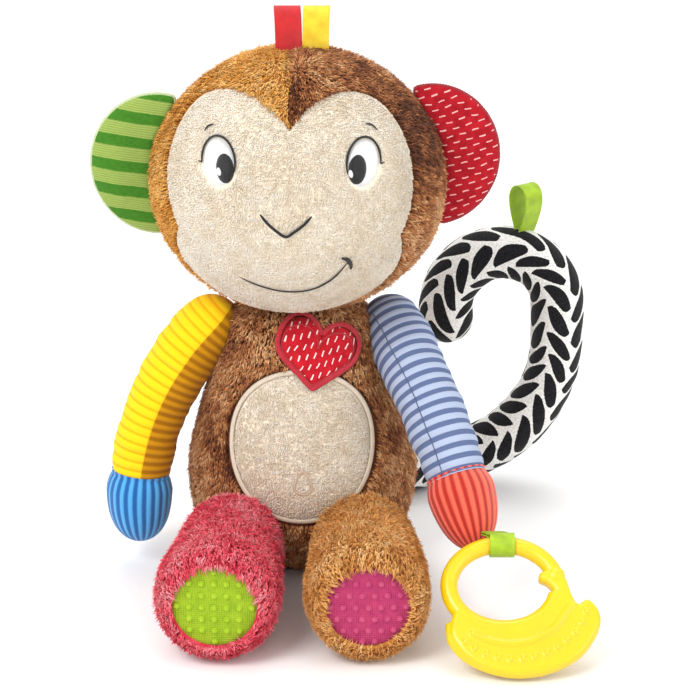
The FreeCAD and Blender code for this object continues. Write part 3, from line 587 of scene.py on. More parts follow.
def strand_mesh(name, strands, shade):
    """A mesh of strands, each in its own shade's material."""
    each = np.arange(len(strands))[:, None]
    corners = STRAND_CORNERS + STRAND_VERTICES * each
    starts = STRAND_FACES + len(STRAND_CORNERS) * each
    mesh = bpy.data.meshes.new(name)
    mesh.vertices.add(strands.shape[0] * STRAND_VERTICES)
    mesh.vertices.foreach_set("co", (strands * MM).astype(np.float32).ravel())
    mesh.loops.add(corners.size)
    mesh.loops.foreach_set("vertex_index", corners.astype(np.int32).ravel())
    mesh.polygons.add(starts.size)
    mesh.polygons.foreach_set("loop_start", starts.astype(np.int32).ravel())
    mesh.polygons.foreach_set("material_index", np.repeat(shade, len(STRAND_FACES)).astype(np.int32))
    mesh.update(calc_edges=True)
    return mesh


def pile(name, body, skin, looks, density, length, width, comb, keep=None, lean=0.9, seed=1, patch=16.0,
         tone=None, slot="brown_plush", clump=3.6, top=0.0, gather=0.32):
    """A pile of short curved strands on a skin, combed one way, gathered in locks and shaded in patches."""
    rng = np.random.default_rng(seed)
    root, out = scatter(skin.data, density, rng)
    if keep is not None:
        chosen = keep(root)
        root, out = root[chosen], out[chosen]
    n = len(root)
    way = comb(root) + WAVER * (np.stack([grain(root, 11, seed + k) for k in (11, 12, 13)], -1) - 0.5)
    way = unit(way - out * (way * out).sum(axis=1, keepdims=True))
    spread = rng.normal(0, SPREAD, (n, 3))
    tall = length * (0.75 + 0.5 * rng.random(n))[:, None]
    aim = unit(out * math.cos(lean) + way * math.sin(lean) + spread)
    # Each cell of the skin has a lock of its own, which pulls the tips together.
    cell = np.floor(root / clump).astype(np.int64)
    jitter = np.stack([hashed(cell, seed + k) for k in (21, 22, 23)], -1)
    pull = (cell + 0.2 + 0.6 * jitter) * clump - root
    pull -= out * (pull * out).sum(axis=1, keepdims=True)
    tip = root + aim * tall + pull * gather
    middle = root + (out * 0.75 + aim * 0.5) * tall * 0.5 + pull * gather * 0.3
    foot = root - out * 0.6
    for place, gap in ((tip, 0), (middle, 0.1), (foot, 0.05)):
        place[:, 2] = np.maximum(place[:, 2], FLOOR + gap)
    across = unit(np.cross(out, way))
    thick = width * (0.7 + 0.6 * rng.random(n))[:, None]
    corners = [place + (across * math.cos(angle) - way * 0.6 * math.sin(angle)) * thick * share
               for place, share in ((foot, 0.5), (middle, 0.46)) for angle in STRAND_SECTION]
    strands = np.stack(corners + [tip], axis=1)
    strands[:, :, 2] = np.maximum(strands[:, :, 2], FLOOR - 0.2)
    shade = (0.34 * grain(root, patch, seed + 31) + 0.24 * grain(root, patch / 3, seed + 32)
             + 0.3 * hashed(cell, seed + 33) + 0.26 * rng.random(n) + top)
    if tone is not None:
        shade = shade + tone(root)
    index = np.clip(((shade - 0.22) / 0.66 * len(looks)).astype(int), 0, len(looks) - 1)
    return made(name, body, strand_mesh(name, strands, index), looks, slot)


def combed(*way):
    """A comb that lays the pile one way."""
    return lambda p: np.broadcast_to(np.array(way, float), p.shape).copy()


def cushion(name, body, tree, outline, rise, looks, slot, nodes=(), rows=16, sink=0.4, fill=2.5):
    """A patch on a surface inside a closed outline of (x, z) points: domed, with edges that tuck in."""
    centre = outline.mean(axis=0)
    share = 1 - (1 - np.linspace(0, 1, rows)) ** 1.3
    flat = centre + (outline[None] - centre) * share[::-1][:, None, None]
    flat = flat[:-1]
    spots, normals = press(tree, flat.reshape(-1, 2))
    spots = spots.reshape(rows - 1, len(outline), 3)
    normals = normals.reshape(spots.shape)
    edge = (1 - share[::-1][:-1])
    height = -sink + (rise + sink) * np.clip(edge * fill, 0, 1) ** 0.5
    rings = spots + normals * height[:, None, None]
    mesh = grid_mesh(name, rings, along=np.arange(rows - 1) * 1.0, ends=(False, True))
    plan(mesh)
    return made(name, body, mesh, looks, slot, *nodes)


def plan(mesh):
    """Lays a front-facing mesh's cloth coordinates out flat, in mm across and up."""
    index = read(mesh.loops, "vertex_index", 1, np.int32)[:, 0]
    points = read(mesh.vertices, "co")[index] / MM
    mesh.uv_layers[UV].data.foreach_set("uv", points[:, [0, 2]].astype(np.float32).ravel())


def stitch(name, body, tree, path, radius, looks, slot, nodes=(), closed=True, lift=0.35, ends=0.0):
    """A satin-stitched line on a surface: a flat cord of threads laid side by side."""
    path = np.asarray(path, float)
    if closed:
        path = np.vstack([path, path[:1]])
    flat3 = np.stack([path[:, 0], np.zeros(len(path)), path[:, 1]], -1)
    length = np.linalg.norm(np.diff(flat3, axis=0), axis=1).sum()
    count = max(12, int(length / 0.45))
    flat3, along = even(flat3, count)
    spots, normals = press(tree, flat3[:, [0, 2]])
    line = spots + normals * lift
    side = unit(np.cross(unit(np.gradient(line, axis=0)), normals))
    swell = np.ones(count)
    if not closed and ends:
        reach = np.minimum(along, along[-1] - along)
        swell = 0.25 + 0.75 * np.clip(reach / ends, 0, 1) ** 0.5
    r = radius * swell[:, None] * (1 + 0.1 * np.sin(TAU * along / STITCH)[:, None])
    rings = rings_round(line, r[..., None], np.arange(14) / 14 * TAU, side[:, None], 0.62 * normals[:, None])
    if closed:
        rings[-1] = rings[0]
    mesh = grid_mesh(name, rings, along=along, ends=(not closed, not closed))
    if closed:
        with worked(mesh) as work:
            bmesh.ops.remove_doubles(work, verts=work.verts, dist=1e-6)
            bmesh.ops.recalc_face_normals(work, faces=work.faces)
    return made(name, body, mesh, looks, slot, *nodes)


def oval(x, z, half_x, half_z, count=72, power=2.0, turn=0.0):
    t = np.arange(count) / count * TAU
    c, s = np.cos(t), np.sin(t)
    a = half_x * np.sign(c) * np.abs(c) ** (2 / power)
    b = half_z * np.sign(s) * np.abs(s) ** (2 / power)
    w = math.radians(turn)
    return np.stack([x + a * math.cos(w) - b * math.sin(w), z + a * math.sin(w) + b * math.cos(w)], -1)


def band(name, body, line, across, width, thick, looks, slot, nodes=()):
    """A ribbon of one width along a line, lying flat along the across direction."""
    line = np.asarray(line, float)
    across = unit(np.broadcast_to(np.asarray(across, float), line.shape))
    heading = unit(np.gradient(line, axis=0))
    face = unit(np.cross(heading, across))
    steps = np.array([-1, -0.96, -0.9, -0.5, 0, 0.5, 0.9, 0.96, 1])
    edge = np.array([0.7, 1.25, 1.0, 1.0, 1.0, 1.0, 1.0, 1.25, 0.7])
    upper = [(w * width / 2, e * thick / 2) for w, e in zip(steps, edge)]
    lower = [(w, -e) for w, e in reversed(upper)]
    section = np.array(upper + lower)
    rings = (line[:, None] + section[None, :, :1] * across[:, None] + section[None, :, 1:] * face[:, None])
    run = np.concatenate([[0], np.cumsum(np.linalg.norm(np.diff(line, axis=0), axis=1))])
    mesh = grid_mesh(name, rings, along=run)
    piece = made(name, body, mesh, looks, slot, *nodes)
    return piece


# == Camera, floor and light

AIM = np.array([25.0, -30.0, 125.0])
TILT = math.radians(20)
AWAY = 1200.0
SEEN_WIDTH = 350.0  # at the toy
SENSOR = 36

camera_data = bpy.data.cameras.new("camera")
camera_data.sensor_width = SENSOR
camera_data.lens = SENSOR * AWAY / SEEN_WIDTH
camera = bpy.data.objects.new("camera", camera_data)
camera.location = (AIM + AWAY * np.array([0, -math.cos(TILT), math.sin(TILT)])) * MM
camera.rotation_euler = (math.pi / 2 - TILT, 0, 0)
bpy.context.scene.collection.objects.link(camera)
bpy.context.scene.camera = camera

floor_mesh = bpy.data.meshes.new("floor")
SPAN = 12.0  # half the floor's side, in metres
floor_corners = [(-SPAN, -SPAN, 0), (SPAN, -SPAN, 0), (SPAN, SPAN, 0), (-SPAN, SPAN, 0)]
floor_mesh.from_pydata(floor_corners, [], [(0, 1, 2, 3)])
floor = bpy.data.objects.new("floor", floor_mesh)
bpy.context.scene.collection.objects.link(floor)
floor_look = Look("floor_paper", Base_Color=(0.9, 0.9, 0.9), Roughness=0.9)
floor_look.bump(floor_look.noise(30), 0.05)
floor_mesh.materials.append(floor_look.mat)

world = bpy.data.worlds.new("studio")
world.use_nodes = True
sky = world.node_tree.nodes["Background"].inputs
sky["Color"].default_value = (1, 1, 1, 1)
sky["Strength"].default_value = 0.95
bpy.context.scene.world = world
bpy.context.scene.view_settings.view_transform = "Standard"


def lamp(name, at, aim, size, power):
    data = bpy.data.lights.new(name, "AREA")
    data.size = size
    data.energy = power
    light = bpy.data.objects.new(name, data)
    light.location = at
    light.rotation_euler = (Vector(aim) - Vector(at)).to_track_quat("-Z", "Y").to_euler()
    bpy.context.scene.collection.objects.link(light)


lamp("key", (-0.7, -1.0, 1.25), (0.02, 0, 0.13), 0.7, 16)
lamp("fill", (1.1, -0.9, 0.7), (0.02, 0, 0.13), 0.9, 5)
lamp("top", (0.1, 0.5, 1.4), (0.02, 0, 0.15), 0.9, 7)


# == Body

TORSO = curve([  # level, half width, depth to the front, depth to the back
    (0.5, 0.4, 0.4, 0.4), (0.5, 14, 7, 12), (0.7, 27, 13, 23), (4, 38, 22, 31), (14, 48, 34, 39),
    (30, 54.5, 43.5, 44), (52, 57, 48.5, 46), (76, 52.4, 46, 43.5), (98, 45.8, 41, 38.5), (114, 41, 37, 35),
    (127, 37.0, 32.6, 31.6), (135, 33.6, 28.4, 27.6), (140.6, 24, 20, 20), (143.6, 11.5, 10, 10),
    (144.2, 0.4, 0.4, 0.4)], 150)
turn = np.arange(220) / 220 * TAU
depth = np.where(np.sin(turn)[None, :] < 0, TORSO[:, 2:3], TORSO[:, 3:4])
torso_rings = np.stack([TORSO[:, 1:2] * np.cos(turn)[None], depth * np.sin(turn)[None],
                        np.broadcast_to(TORSO[:, :1], depth.shape)], -1)
dent = 1.6 * (grain(torso_rings, 34, 5) - 0.5) + 0.7 * (grain(torso_rings, 12, 6) - 0.5)
torso_rings[..., :2] += unit(torso_rings)[..., :2] * dent[..., None]
torso_skin = made("torso_skin", "torso", grid_mesh("torso_skin", torso_rings), [brown_base], "brown_plush",
                  "torso_front_panel", "torso_back_panel", "torso_stuffing")
torso_tree = tree_of(torso_skin)

BELLY = (0.8, 77.5, 35.2, 38.6)  # middle and half sizes, as x and z
BUTTON = (1.5, 61)
HEART_TIP = (6.0, 108.0)
HEART_LOBES = ((0.2, 129.3, 10.6), (17.8, 125.0, 10.2))  # middle and radius
belly = cushion("belly_patch_pile", "torso", torso_tree, oval(*BELLY, count=120, power=2.08), 1.6,
                [beige_terry], "beige_terry", ["belly_patch"], rows=26)
rim = oval(BELLY[0], BELLY[1], BELLY[2] - 0.4, BELLY[3] - 0.4, count=160, power=2.08)
stitch("belly_rim", "torso", torso_tree, rim, 1.25, [beige_thread], "beige_thread", ["belly_rim_stitch"],
       lift=1.2)


def drop(x, z, half_x, half_z, count=60):
    t = np.arange(count) / count * TAU
    return np.stack([x + half_x * np.sin(t) * (1 - 0.45 * np.cos(t)), z + half_z * np.cos(t)], -1)


belly_tree = tree_of(torso_skin, belly)
stitch("belly_button", "torso", belly_tree, drop(*BUTTON, 4.0, 6.0), 0.7, [pink_thread], "beige_thread",
       ["belly_button_stitch"], lift=0.45)


def heart_line(grow, count=140):
    """The heart's outline: two round lobes and straight sides down to the tip."""
    tip = np.array([HEART_TIP[0], HEART_TIP[1] - 1.3 * grow])
    left, right = ((np.array([x, z]), radius + grow) for x, z, radius in HEART_LOBES)
    between = right[0] - left[0]
    gap = np.linalg.norm(between)
    run = (gap ** 2 + left[1] ** 2 - right[1] ** 2) / (2 * gap)
    rise = math.sqrt(max(0.0, left[1] ** 2 - run ** 2))
    notch = left[0] + between / gap * run + np.array([-between[1], between[0]]) / gap * rise

    def turn_to(lobe, spot):
        away = spot - lobe[0]
        return math.atan2(away[1], away[0])

    def lobe_arc(lobe, start, end):
        t = np.linspace(start, end, 60)
        return lobe[0] + lobe[1] * np.stack([np.cos(t), np.sin(t)], -1)

    def reach(lobe):
        return math.acos(lobe[1] / np.linalg.norm(tip - lobe[0]))

    over_left = lobe_arc(left, turn_to(left, notch), (turn_to(left, tip) - reach(left)) % TAU)
    over_right = lobe_arc(right, turn_to(right, tip) + reach(right), turn_to(right, notch) % TAU)
    line = np.vstack([over_left, tip, over_right])
    flat, _ = even(np.stack([line[:, 0], 0 * line[:, 0], line[:, 1]], -1), count + 1)
    return flat[:-1][:, [0, 2]]


heart = cushion("heart_cloth", "torso", belly_tree, heart_line(0), 3.1, [heart_cloth], "red_cloth",
                ["heart_patch"], rows=18, fill=5)
stitch("heart_border", "torso", belly_tree, heart_line(0.1), 1.45, [red_thread], "red_thread",
       ["heart_rim_stitch"], lift=2.2)
heart_tree = tree_of(heart)
stitch("heart_inner_line", "torso", heart_tree, heart_line(-1.6), 0.45, [red_thread], "red_thread", lift=0.2)


def inside_belly(p, grow=2.6):
    across = (p[:, 0] - BELLY[0]) / (BELLY[2] + grow)
    up = (p[:, 2] - BELLY[1]) / (BELLY[3] + grow)
    return across ** 2 + up ** 2 < 1


heart_shape = heart_line(1.3)


def inside_line(p, line):
    """Which points (x, z) lie inside a closed line."""
    x, z = p[:, 0], p[:, 2]
    inside = np.zeros(len(p), bool)
    for (x1, z1), (x2, z2) in zip(line, np.roll(line, -1, axis=0)):
        crosses = (z1 > z) != (z2 > z)
        inside ^= crosses & (x < (x2 - x1) * (z - z1) / (z2 - z1 + 1e-12) + x1)
    return inside


def torso_keep(p):
    front = p[:, 1] < 0
    return ~(front & (inside_belly(p) | inside_line(p, heart_shape))) & (p[:, 2] > 1.2)


def torso_tone_and_rim_light(p):
    """Brushed-up dark spots low on both sides, and lighter towards the sides as painted rim light."""
    right_spot = np.exp(-((p[:, 0] + 38) ** 2 + (p[:, 2] - 74) ** 2) / 150)
    left_spot = np.exp(-((p[:, 0] - 47) ** 2 + (p[:, 2] - 78) ** 2) / 40)
    return 0.05 + 0.1 * smooth(25, 50, np.abs(p[:, 0])) - 0.26 * right_spot - 0.25 * left_spot


pile("torso_pile", "torso", torso_skin, BROWN, *BODY_FUR, combed(0.15, 0, -1), torso_keep, seed=3,
     patch=20, lean=1.0, tone=torso_tone_and_rim_light)


def belly_keep(p):
    free = inside_belly(p, -1.4) & ~inside_line(p, heart_shape)
    return free & (inside_line(p, drop(*BUTTON, 3.3, 5.2)) | ~inside_line(p, drop(*BUTTON, 4.7, 6.8)))


pile("belly_pile", "torso", belly, BEIGE, *SHORT_FUR, combed(0.5, 0, -0.6), belly_keep, seed=4, patch=12,
     slot="beige_terry", clump=2.4, top=0.04, lean=0.95, gather=0.2)


# == Head

head_low, head_high = low_high("head_right_panel", "head_left_panel", "face_panel")
HEAD = (head_low + head_high) / 2
HALF = (head_high - head_low) / 2 - 2.6
SEAM_X = -4.0
LOBES = ((-29.5, 214.0, 34.5, 43.5), (21.5, 214.0, 34.0, 43.5))
MUZZLE = (-5.0, 181.0, 55.5, 38.0)


def face_depth(p):
    """How far inside the face panel's outline a point is, seen from the front, in mm."""
    x, z = p[..., 0], p[..., 2]
    depth_in = [36 * (1 - np.hypot((x - cx) / rx, (z - cz) / rz)) for cx, cz, rx, rz in (*LOBES, MUZZLE)]
    return np.where(p[..., 1] < -8, np.maximum.reduce(depth_in), -30)


polar = np.linspace(0.004, math.pi - 0.004, 230)[:, None]
spin = (np.arange(360) / 360 * TAU)[None, :]
ray = np.stack([np.sin(polar) * np.cos(spin), np.sin(polar) * np.sin(spin), np.cos(polar) + 0 * spin], -1)
head_rings = HEAD + HALF * ray
d = face_depth(head_rings)
puff = np.where(d > 0, 3.4 * smooth(0, 12, d), 2.6 * smooth(0, 9, -d))
off_muzzle = ((head_rings[..., 0] + 2.5) / 34) ** 2 + ((head_rings[..., 2] - 182) / 23) ** 2
muzzle_bulge = 7.5 * np.exp(-off_muzzle)
off_seam = (head_rings[..., 0] - SEAM_X) / 2.2
crown_groove = np.where(d < 0, -1.8 * np.exp(-off_seam ** 2), 0) * (ray[..., 2] > -0.6)
dents = 1.5 * (grain(head_rings, 30, 8) - 0.5)
push = puff + np.where(head_rings[..., 1] < -8, muzzle_bulge, 0) + crown_groove + dents
head_rings = head_rings + unit(ray / HALF) * push[..., None]


def part_of_head(name, which, looks, slot, *nodes):
    """The faces of the head's form that one panel covers."""
    mesh = grid_mesh(name, head_rings)
    keep = which(read(mesh.polygons, "center") / MM)
    with worked(mesh) as work:
        work.faces.ensure_lookup_table()
        bmesh.ops.delete(work, geom=[work.faces[i] for i in np.flatnonzero(~keep)], context="FACES")
    plan(mesh)
    piece = made(name, "head", mesh, looks, slot, *nodes)
    return piece


def in_face(p):
    return face_depth(p) > 0


face = part_of_head("face_cloth", in_face, [beige_terry], "beige_terry", "face_panel", "head_stuffing")
head_right = part_of_head("head_right_cloth", lambda p: ~in_face(p) & (p[:, 0] < SEAM_X), [tan_base],
                          "tan_plush", "head_right_panel")
head_left = part_of_head("head_left_cloth", lambda p: ~in_face(p) & (p[:, 0] >= SEAM_X), [brown_base],
                         "brown_plush", "head_left_panel")
face_tree = tree_of(face)


def from_crown(p):
    """The pile runs out and down from the crown, and away from the face."""
    away = unit(p - HEAD)
    return np.stack([away[:, 0] * 1.2, away[:, 1] * 0.5 + 0.25, np.full(len(p), -0.55)], -1)


pile("head_right_pile", "head", head_right, TAN, *HEAD_FUR, from_crown, seed=7, patch=17,
     slot="tan_plush", lean=1.05, gather=0.22, tone=lambda p: 0.10 * smooth(190, 260, p[:, 2]) - 0.02)


def left_tone_and_crown_highlight(p):
    """Darker at the top, with a painted highlight of pale tips at the crown and a dark patch above the ear;
    golden lower down.
    """
    dark = np.exp(-((p[:, 0] - 58) ** 2 + (p[:, 2] - 236) ** 2) / 500) * smooth(12, -14, p[:, 1])
    return 0.2 - 0.24 * smooth(185, 235, p[:, 2]) + 0.08 * smooth(250, 270, p[:, 2]) - 0.2 * dark


pile("head_left_pile", "head", head_left, BROWN, *HEAD_FUR, from_crown, seed=8, patch=14, lean=1.05,
     gather=0.25, tone=left_tone_and_crown_highlight)


def face_comb(p):
    away = p - np.array([-2.5, 0, 200.0])
    return np.stack([away[:, 0] * 0.02, np.zeros(len(p)), -0.6 + 0.002 * away[:, 2]], -1)


EYES = {"right": (-37.2, -34.4, -1), "left": (31.1, 28.4, 1)}  # the eye's x, its pupil's x, and its side
EYE_Z = 228.3
PUPIL_Z = 226.1
NOSE = curve([(-17.5, 0, 206.5), (-14, 0, 202.5), (-9.6, 0, 199.0), (-5.4, 0, 196.6), (-1.4, 0, 198.8),
              (3.2, 0, 202.2), (6.8, 0, 206)], 50)
SMILE = curve([(-28, 0, 173.6), (-18, 0, 169.8), (-6, 0, 167.4), (6, 0, 168.6), (16, 0, 174),
               (23.4, 0, 182)], 70)
CORNER = curve([(20.6, 0, 184.8), (23.4, 0, 183.6), (25.0, 0, 180.6), (25.0, 0, 178.0)], 12)
BROWS = {"right": [(-44.2, 0, 240.4), (-42.2, 0, 242.8), (-39.4, 0, 244.0)],
         "left": [(31.8, 0, 244.8), (34.8, 0, 243.9), (37.6, 0, 241.4)]}


def near_line(p, line, reach):
    hit = np.zeros(len(p), bool)
    for spot in line:
        hit |= np.hypot(p[:, 0] - spot[0], p[:, 2] - spot[2]) < reach
    return hit


def face_keep(p):
    free = face_depth(p) > 0.6
    for x, _, _ in EYES.values():
        free &= ((p[:, 0] - x) / 8.9) ** 2 + ((p[:, 2] - EYE_Z) / 12.0) ** 2 > 1
    return free & ~near_line(p, NOSE, 1.4) & ~near_line(p, SMILE, 1.1)


pile("face_pile", "head", face, BEIGE, *SHORT_FUR, face_comb, face_keep, seed=9, patch=15,
     slot="beige_terry", clump=2.6, top=0.08, lean=0.95, gather=0.2)


def face_line(name, line, radius, nodes=(), lift=1.2, ends=2.0):
    stitch(name, "head", face_tree, line, radius, [black_thread], "black_thread", nodes, closed=False,
           lift=lift, ends=ends)


for side, (x, pupil_x, sign) in EYES.items():
    white_line = oval(x, EYE_Z, 7.6, 10.8, turn=-6 * sign)
    white = cushion(f"{side}_eye_white_thread", "head", face_tree, white_line, 1.5, [white_thread],
                    "white_thread", [f"{side}_eye_white"], rows=9, fill=4)
    pupil_line = oval(pupil_x, PUPIL_Z, 4.6, 7.2, turn=-4 * sign)
    pupil = cushion(f"{side}_pupil_thread", "head", tree_of(white), pupil_line, 0.7, [black_thread],
                    "black_thread", [f"{side}_pupil"], rows=7, fill=4)
    glint_line = oval(pupil_x - 3.0, PUPIL_Z - 1.4, 1.1, 2.1, turn=12)
    cushion(f"{side}_glint_thread", "head", tree_of(pupil), glint_line, 0.45, [white_thread], "white_thread",
            rows=5, fill=4)
    # The lid's line runs from a tick at the eye's outer end, over the top and down the inner side.
    t = np.radians(np.linspace(186, -22, 60)) if sign < 0 else np.radians(np.linspace(-6, 202, 60))
    lid = np.stack([x + 8.0 * np.cos(t), EYE_Z + 11.3 * np.sin(t)], -1)
    lid = np.vstack([[lid[0] + np.array([sign * 1.9, 0.4])], lid])
    face_line(f"{side}_eye_line", lid, 0.6, [f"{side}_eye_rim"], ends=6)

for side, knots in BROWS.items():
    face_line(f"{side}_brow", curve(knots, 16)[:, [0, 2]], 0.5, ["brow_stitches"] if side == "right" else ())
face_line("nose_line", NOSE[:, [0, 2]], 0.72, ["nose_stitch"], ends=3)
face_line("smile_line", SMILE[:, [0, 2]], 0.55, ["mouth_stitch"], lift=1.1, ends=8)
face_line("smile_corner", CORNER[:, [0, 2]], 1.15, lift=1.0, ends=4)

neck_low, neck_high = low_high("neck_stuffing")
neck_line = np.stack([np.zeros(24), np.zeros(24), np.linspace(neck_low[2] + 0.6, neck_high[2] - 0.6, 24)], -1)
neck_radius = 15.6 * np.sqrt(np.maximum(0.02, 1 - np.linspace(-1, 1, 24) ** 4))
neck_mesh = grid_mesh("neck_cloth", tube(neck_line, neck_radius, 60, up=(0, 1, 0)))
neck = made("neck_cloth", "neck", neck_mesh, [brown_base], "brown_plush", "neck_stuffing")


# == Ears

EARS = {"right": (-71.0, 212.5, -1, green_cloth, pale_thread, "green_cloth"),
        "left": (66.0, 217.0, 1, ear_cloth, dark_red_thread, "red_cloth")}
EAR_HALF = (33.0, 35.5)
EAR_FARTHEST = 60
EAR_ANGLES = np.arange(160) / 160 * TAU
EAR_STEPS = np.linspace(0, EAR_FARTHEST, 241)
EAR_SHARE = np.concatenate([np.linspace(0.02, 0.9, 16), np.linspace(0.92, 1.0, 7)])[:, None]


def ear_reach(hub, middle):
    """How far an ear goes from its hub at each angle before it leaves its oval or meets the head."""
    reach = []
    for angle in EAR_ANGLES:
        x = hub[0] + EAR_STEPS * math.cos(angle)
        z = hub[1] + EAR_STEPS * math.sin(angle)
        in_oval = ((x - middle[0]) / EAR_HALF[0]) ** 2 + ((z - middle[1]) / EAR_HALF[1]) ** 2 < 1
        off_head = np.hypot((x - HEAD[0]) / (HALF[0] + 3.6), (z - HEAD[2]) / (HALF[2] + 3.6)) > 1
        ok = in_oval & off_head
        reach.append(EAR_STEPS[np.argmin(ok)] if not ok.all() else EAR_FARTHEST)
    reach = np.array(reach)
    for _ in range(2):
        reach = (np.roll(reach, 1) + 2 * reach + np.roll(reach, -1)) / 4
    return reach


for side, (ex, ez, sign, cloth, edge_look, slot_name) in EARS.items():
    ear_low, ear_high = low_high(f"{side}_ear_front", f"{side}_ear_back")
    middle_y = (ear_low[1] + ear_high[1]) / 2
    half_thick = (ear_high[1] - ear_low[1]) / 2
    hub = np.array([ex + sign * 13, ez + 1])
    radial = ear_reach(hub, (ex, ez))[None] * EAR_SHARE
    x = hub[0] + radial * np.cos(EAR_ANGLES)
    z = hub[1] + radial * np.sin(EAR_ANGLES)
    height = (half_thick - 0.9) * (1 - EAR_SHARE ** 3.2) ** 0.6 + 0.7
    flat_points = np.stack([x, np.zeros_like(x), z], -1)
    wrinkle = 0.8 * (grain(flat_points, 9, 17) - 0.5) + 1.0 * (grain(flat_points, 20, 18) - 0.5)
    cup = 2.2 * EAR_SHARE ** 2 - 1.0
    front = middle_y - height - wrinkle * (1 - EAR_SHARE ** 4) - cup * 0.4
    back = middle_y + height - cup * 0.4 + 0 * x
    rings = np.concatenate([np.stack([x, front, z], -1), np.stack([x, back, z], -1)[::-1]])
    ear = made(f"{side}_ear_cloth", f"{side}_ear", grid_mesh(f"{side}_ear_cloth", rings), [cloth], slot_name,
               f"{side}_ear_front", f"{side}_ear_back")
    edge_line = np.stack([x[-1], (front[-1] + back[-1]) / 2, z[-1]], -1)
    edge_line, along = even(np.vstack([edge_line, edge_line[:1]]), 360)
    edge_rings = tube(edge_line, 0.95 * (1 + 0.14 * np.sin(TAU * along / 1.4)), 10, up=(0, 1, 0))
    edge_mesh = grid_mesh(f"{side}_ear_edge", edge_rings, along=along, ends=(False, False))
    made(f"{side}_ear_edge", f"{side}_ear", edge_mesh, [edge_look], slot_name)

tabs = {"red": (red_satin, "red_satin"), "yellow": (yellow_satin, "yellow_satin")}
for colour, (cloth, slot_name) in tabs.items():
    tab_low, tab_high = low_high(f"{colour}_ribbon_tab")
    x = (tab_low[0] + tab_high[0]) / 2
    y = (tab_low[1] + tab_high[1]) / 2
    base, peak = tab_low[2] - 1, tab_high[2] + 4.2
    lean_x = -0.6 if colour == "red" else 0.6
    knots = [(x, y - 1.2, base), (x, y - 2.6, base + 9), (x + lean_x * 0.5, y - 2.9, peak - 6),
             (x + lean_x, y - 1.9, peak - 1.2), (x + lean_x, y, peak), (x + lean_x, y + 1.9, peak - 1.2),
             (x + lean_x * 0.5, y + 2.9, peak - 6), (x, y + 2.6, base + 9), (x, y + 1.2, base)]
    band(f"{colour}_ribbon", "head", curve(knots, 90), (1, 0, 0), TAB_WIDTH, RIBBON, [cloth], slot_name,
         [f"{colour}_ribbon_tab"])


# == Arms


def arc(a, b, c, count):
    """Evenly spaced points on the arc through three points, and how far along each one is."""
    a, b, c = (np.array(v, float) for v in (a, b, c))
    u, v = b - a, c - a
    w = np.cross(u, v)
    centre = a + (np.cross(w, u) * v.dot(v) + np.cross(v, w) * u.dot(u)) / (2 * w.dot(w))
    radius = np.linalg.norm(a - centre)
    out = (a - centre) / radius
    w = w / np.linalg.norm(w)
    side = np.cross(w, out)
    sweep = math.atan2((c - centre).dot(side), (c - centre).dot(out))
    t = np.linspace(0, sweep, count)
    return centre + radius * (np.cos(t)[:, None] * out + np.sin(t)[:, None] * side), t * radius


ARMS = {"right": ((-74, -6, 86), (-84.5, -11, 30), RIGHT_RIB),
        "left": ((65, -40, 100), (83, -76, 54.5), LEFT_RIB)}
HAND = 20.0  # from the cuff to the hand's middle
HAND_END = 16.9
SHOULDER_CAP = 15.8
CAP_ROWS = 24
SLEEVE_COLUMNS = 144
PANEL_ANGLE = 100


def sleeve_rings(line, along, cuff, rib, seed):
    """The stuffed sleeve, with shallow ribs, soft folds and a round shoulder end."""
    round_off = np.sqrt(np.clip(1 - np.clip(-along / SHOULDER_CAP, 0, 1) ** 2, 0.0002, 1))
    radius = (16.0 + 0.5 * np.sin(along / 17.0) - 0.9 * smooth(cuff - 7, cuff, along)) * round_off

    def shape(row, angle):
        run = along[row]
        ring = on_tube(run, angle, 16)
        fold = 2.0 * (grain(ring * [1.6, 1, 1], 22, seed) - 0.5)
        fold = fold + 1.3 * (grain(ring * [2.6, 0.8, 0.8], 10, 5) - 0.5)
        return (0.1 * np.sin(TAU * run / rib) + fold) * np.clip(run / 10 + 1, 0, 1)

    return tube(line, radius, SLEEVE_COLUMNS, up=(0, 1, 0), shape=shape)


def column_facing(line, *way):
    """The column of a sleeve that faces one way at its middle."""
    _, a, b = frames(line, (0, 1, 0))
    mid = len(line) // 2
    way = unit(np.array(way))
    return int(round(math.atan2(b[mid].dot(way), a[mid].dot(way)) % TAU / TAU * SLEEVE_COLUMNS))


def right_sleeve(line, along, rings):
    """The panel on the body side is a cloth of its own."""
    centre = column_facing(line, 1.0, -0.5, 0.25)
    half = int(round(PANEL_ANGLE / 720 * SLEEVE_COLUMNS))
    first, last = centre - half, centre + half
    panel_mesh = grid_mesh("right_sleeve_inner_cloth", rings, along=along, columns=(first, last))
    panel = made("right_sleeve_inner_cloth", "right_arm", panel_mesh, [mustard_rib], "mustard_cloth",
                 "right_sleeve_back_panel")
    sleeve_mesh = grid_mesh("right_sleeve_cloth", rings, along=along, columns=(last, first + SLEEVE_COLUMNS))
    sleeve = made("right_sleeve_cloth", "right_arm", sleeve_mesh, [yellow_rib], "yellow_rib", "right_sleeve",
                  "right_arm_stuffing")
    thicken(panel)
    thicken(sleeve)
    return sleeve


def left_sleeve(line, along, rings):
    """One cloth, whose seam runs down its front."""
    sleeve = made("left_sleeve_cloth", "left_arm", grid_mesh("left_sleeve_cloth", rings, along=along),
                  [light_stripe], "blue_stripe", "left_sleeve", "left_arm_stuffing")
    seam_line = rings[CAP_ROWS + 2:-2, column_facing(line, -0.25, -1.0, 0.1) % SLEEVE_COLUMNS]
    seam_mesh = grid_mesh("left_sleeve_seam", tube(seam_line, 0.3, 8))
    made("left_sleeve_seam", "left_arm", seam_mesh, [seam_thread], "blue_stripe")
    return sleeve


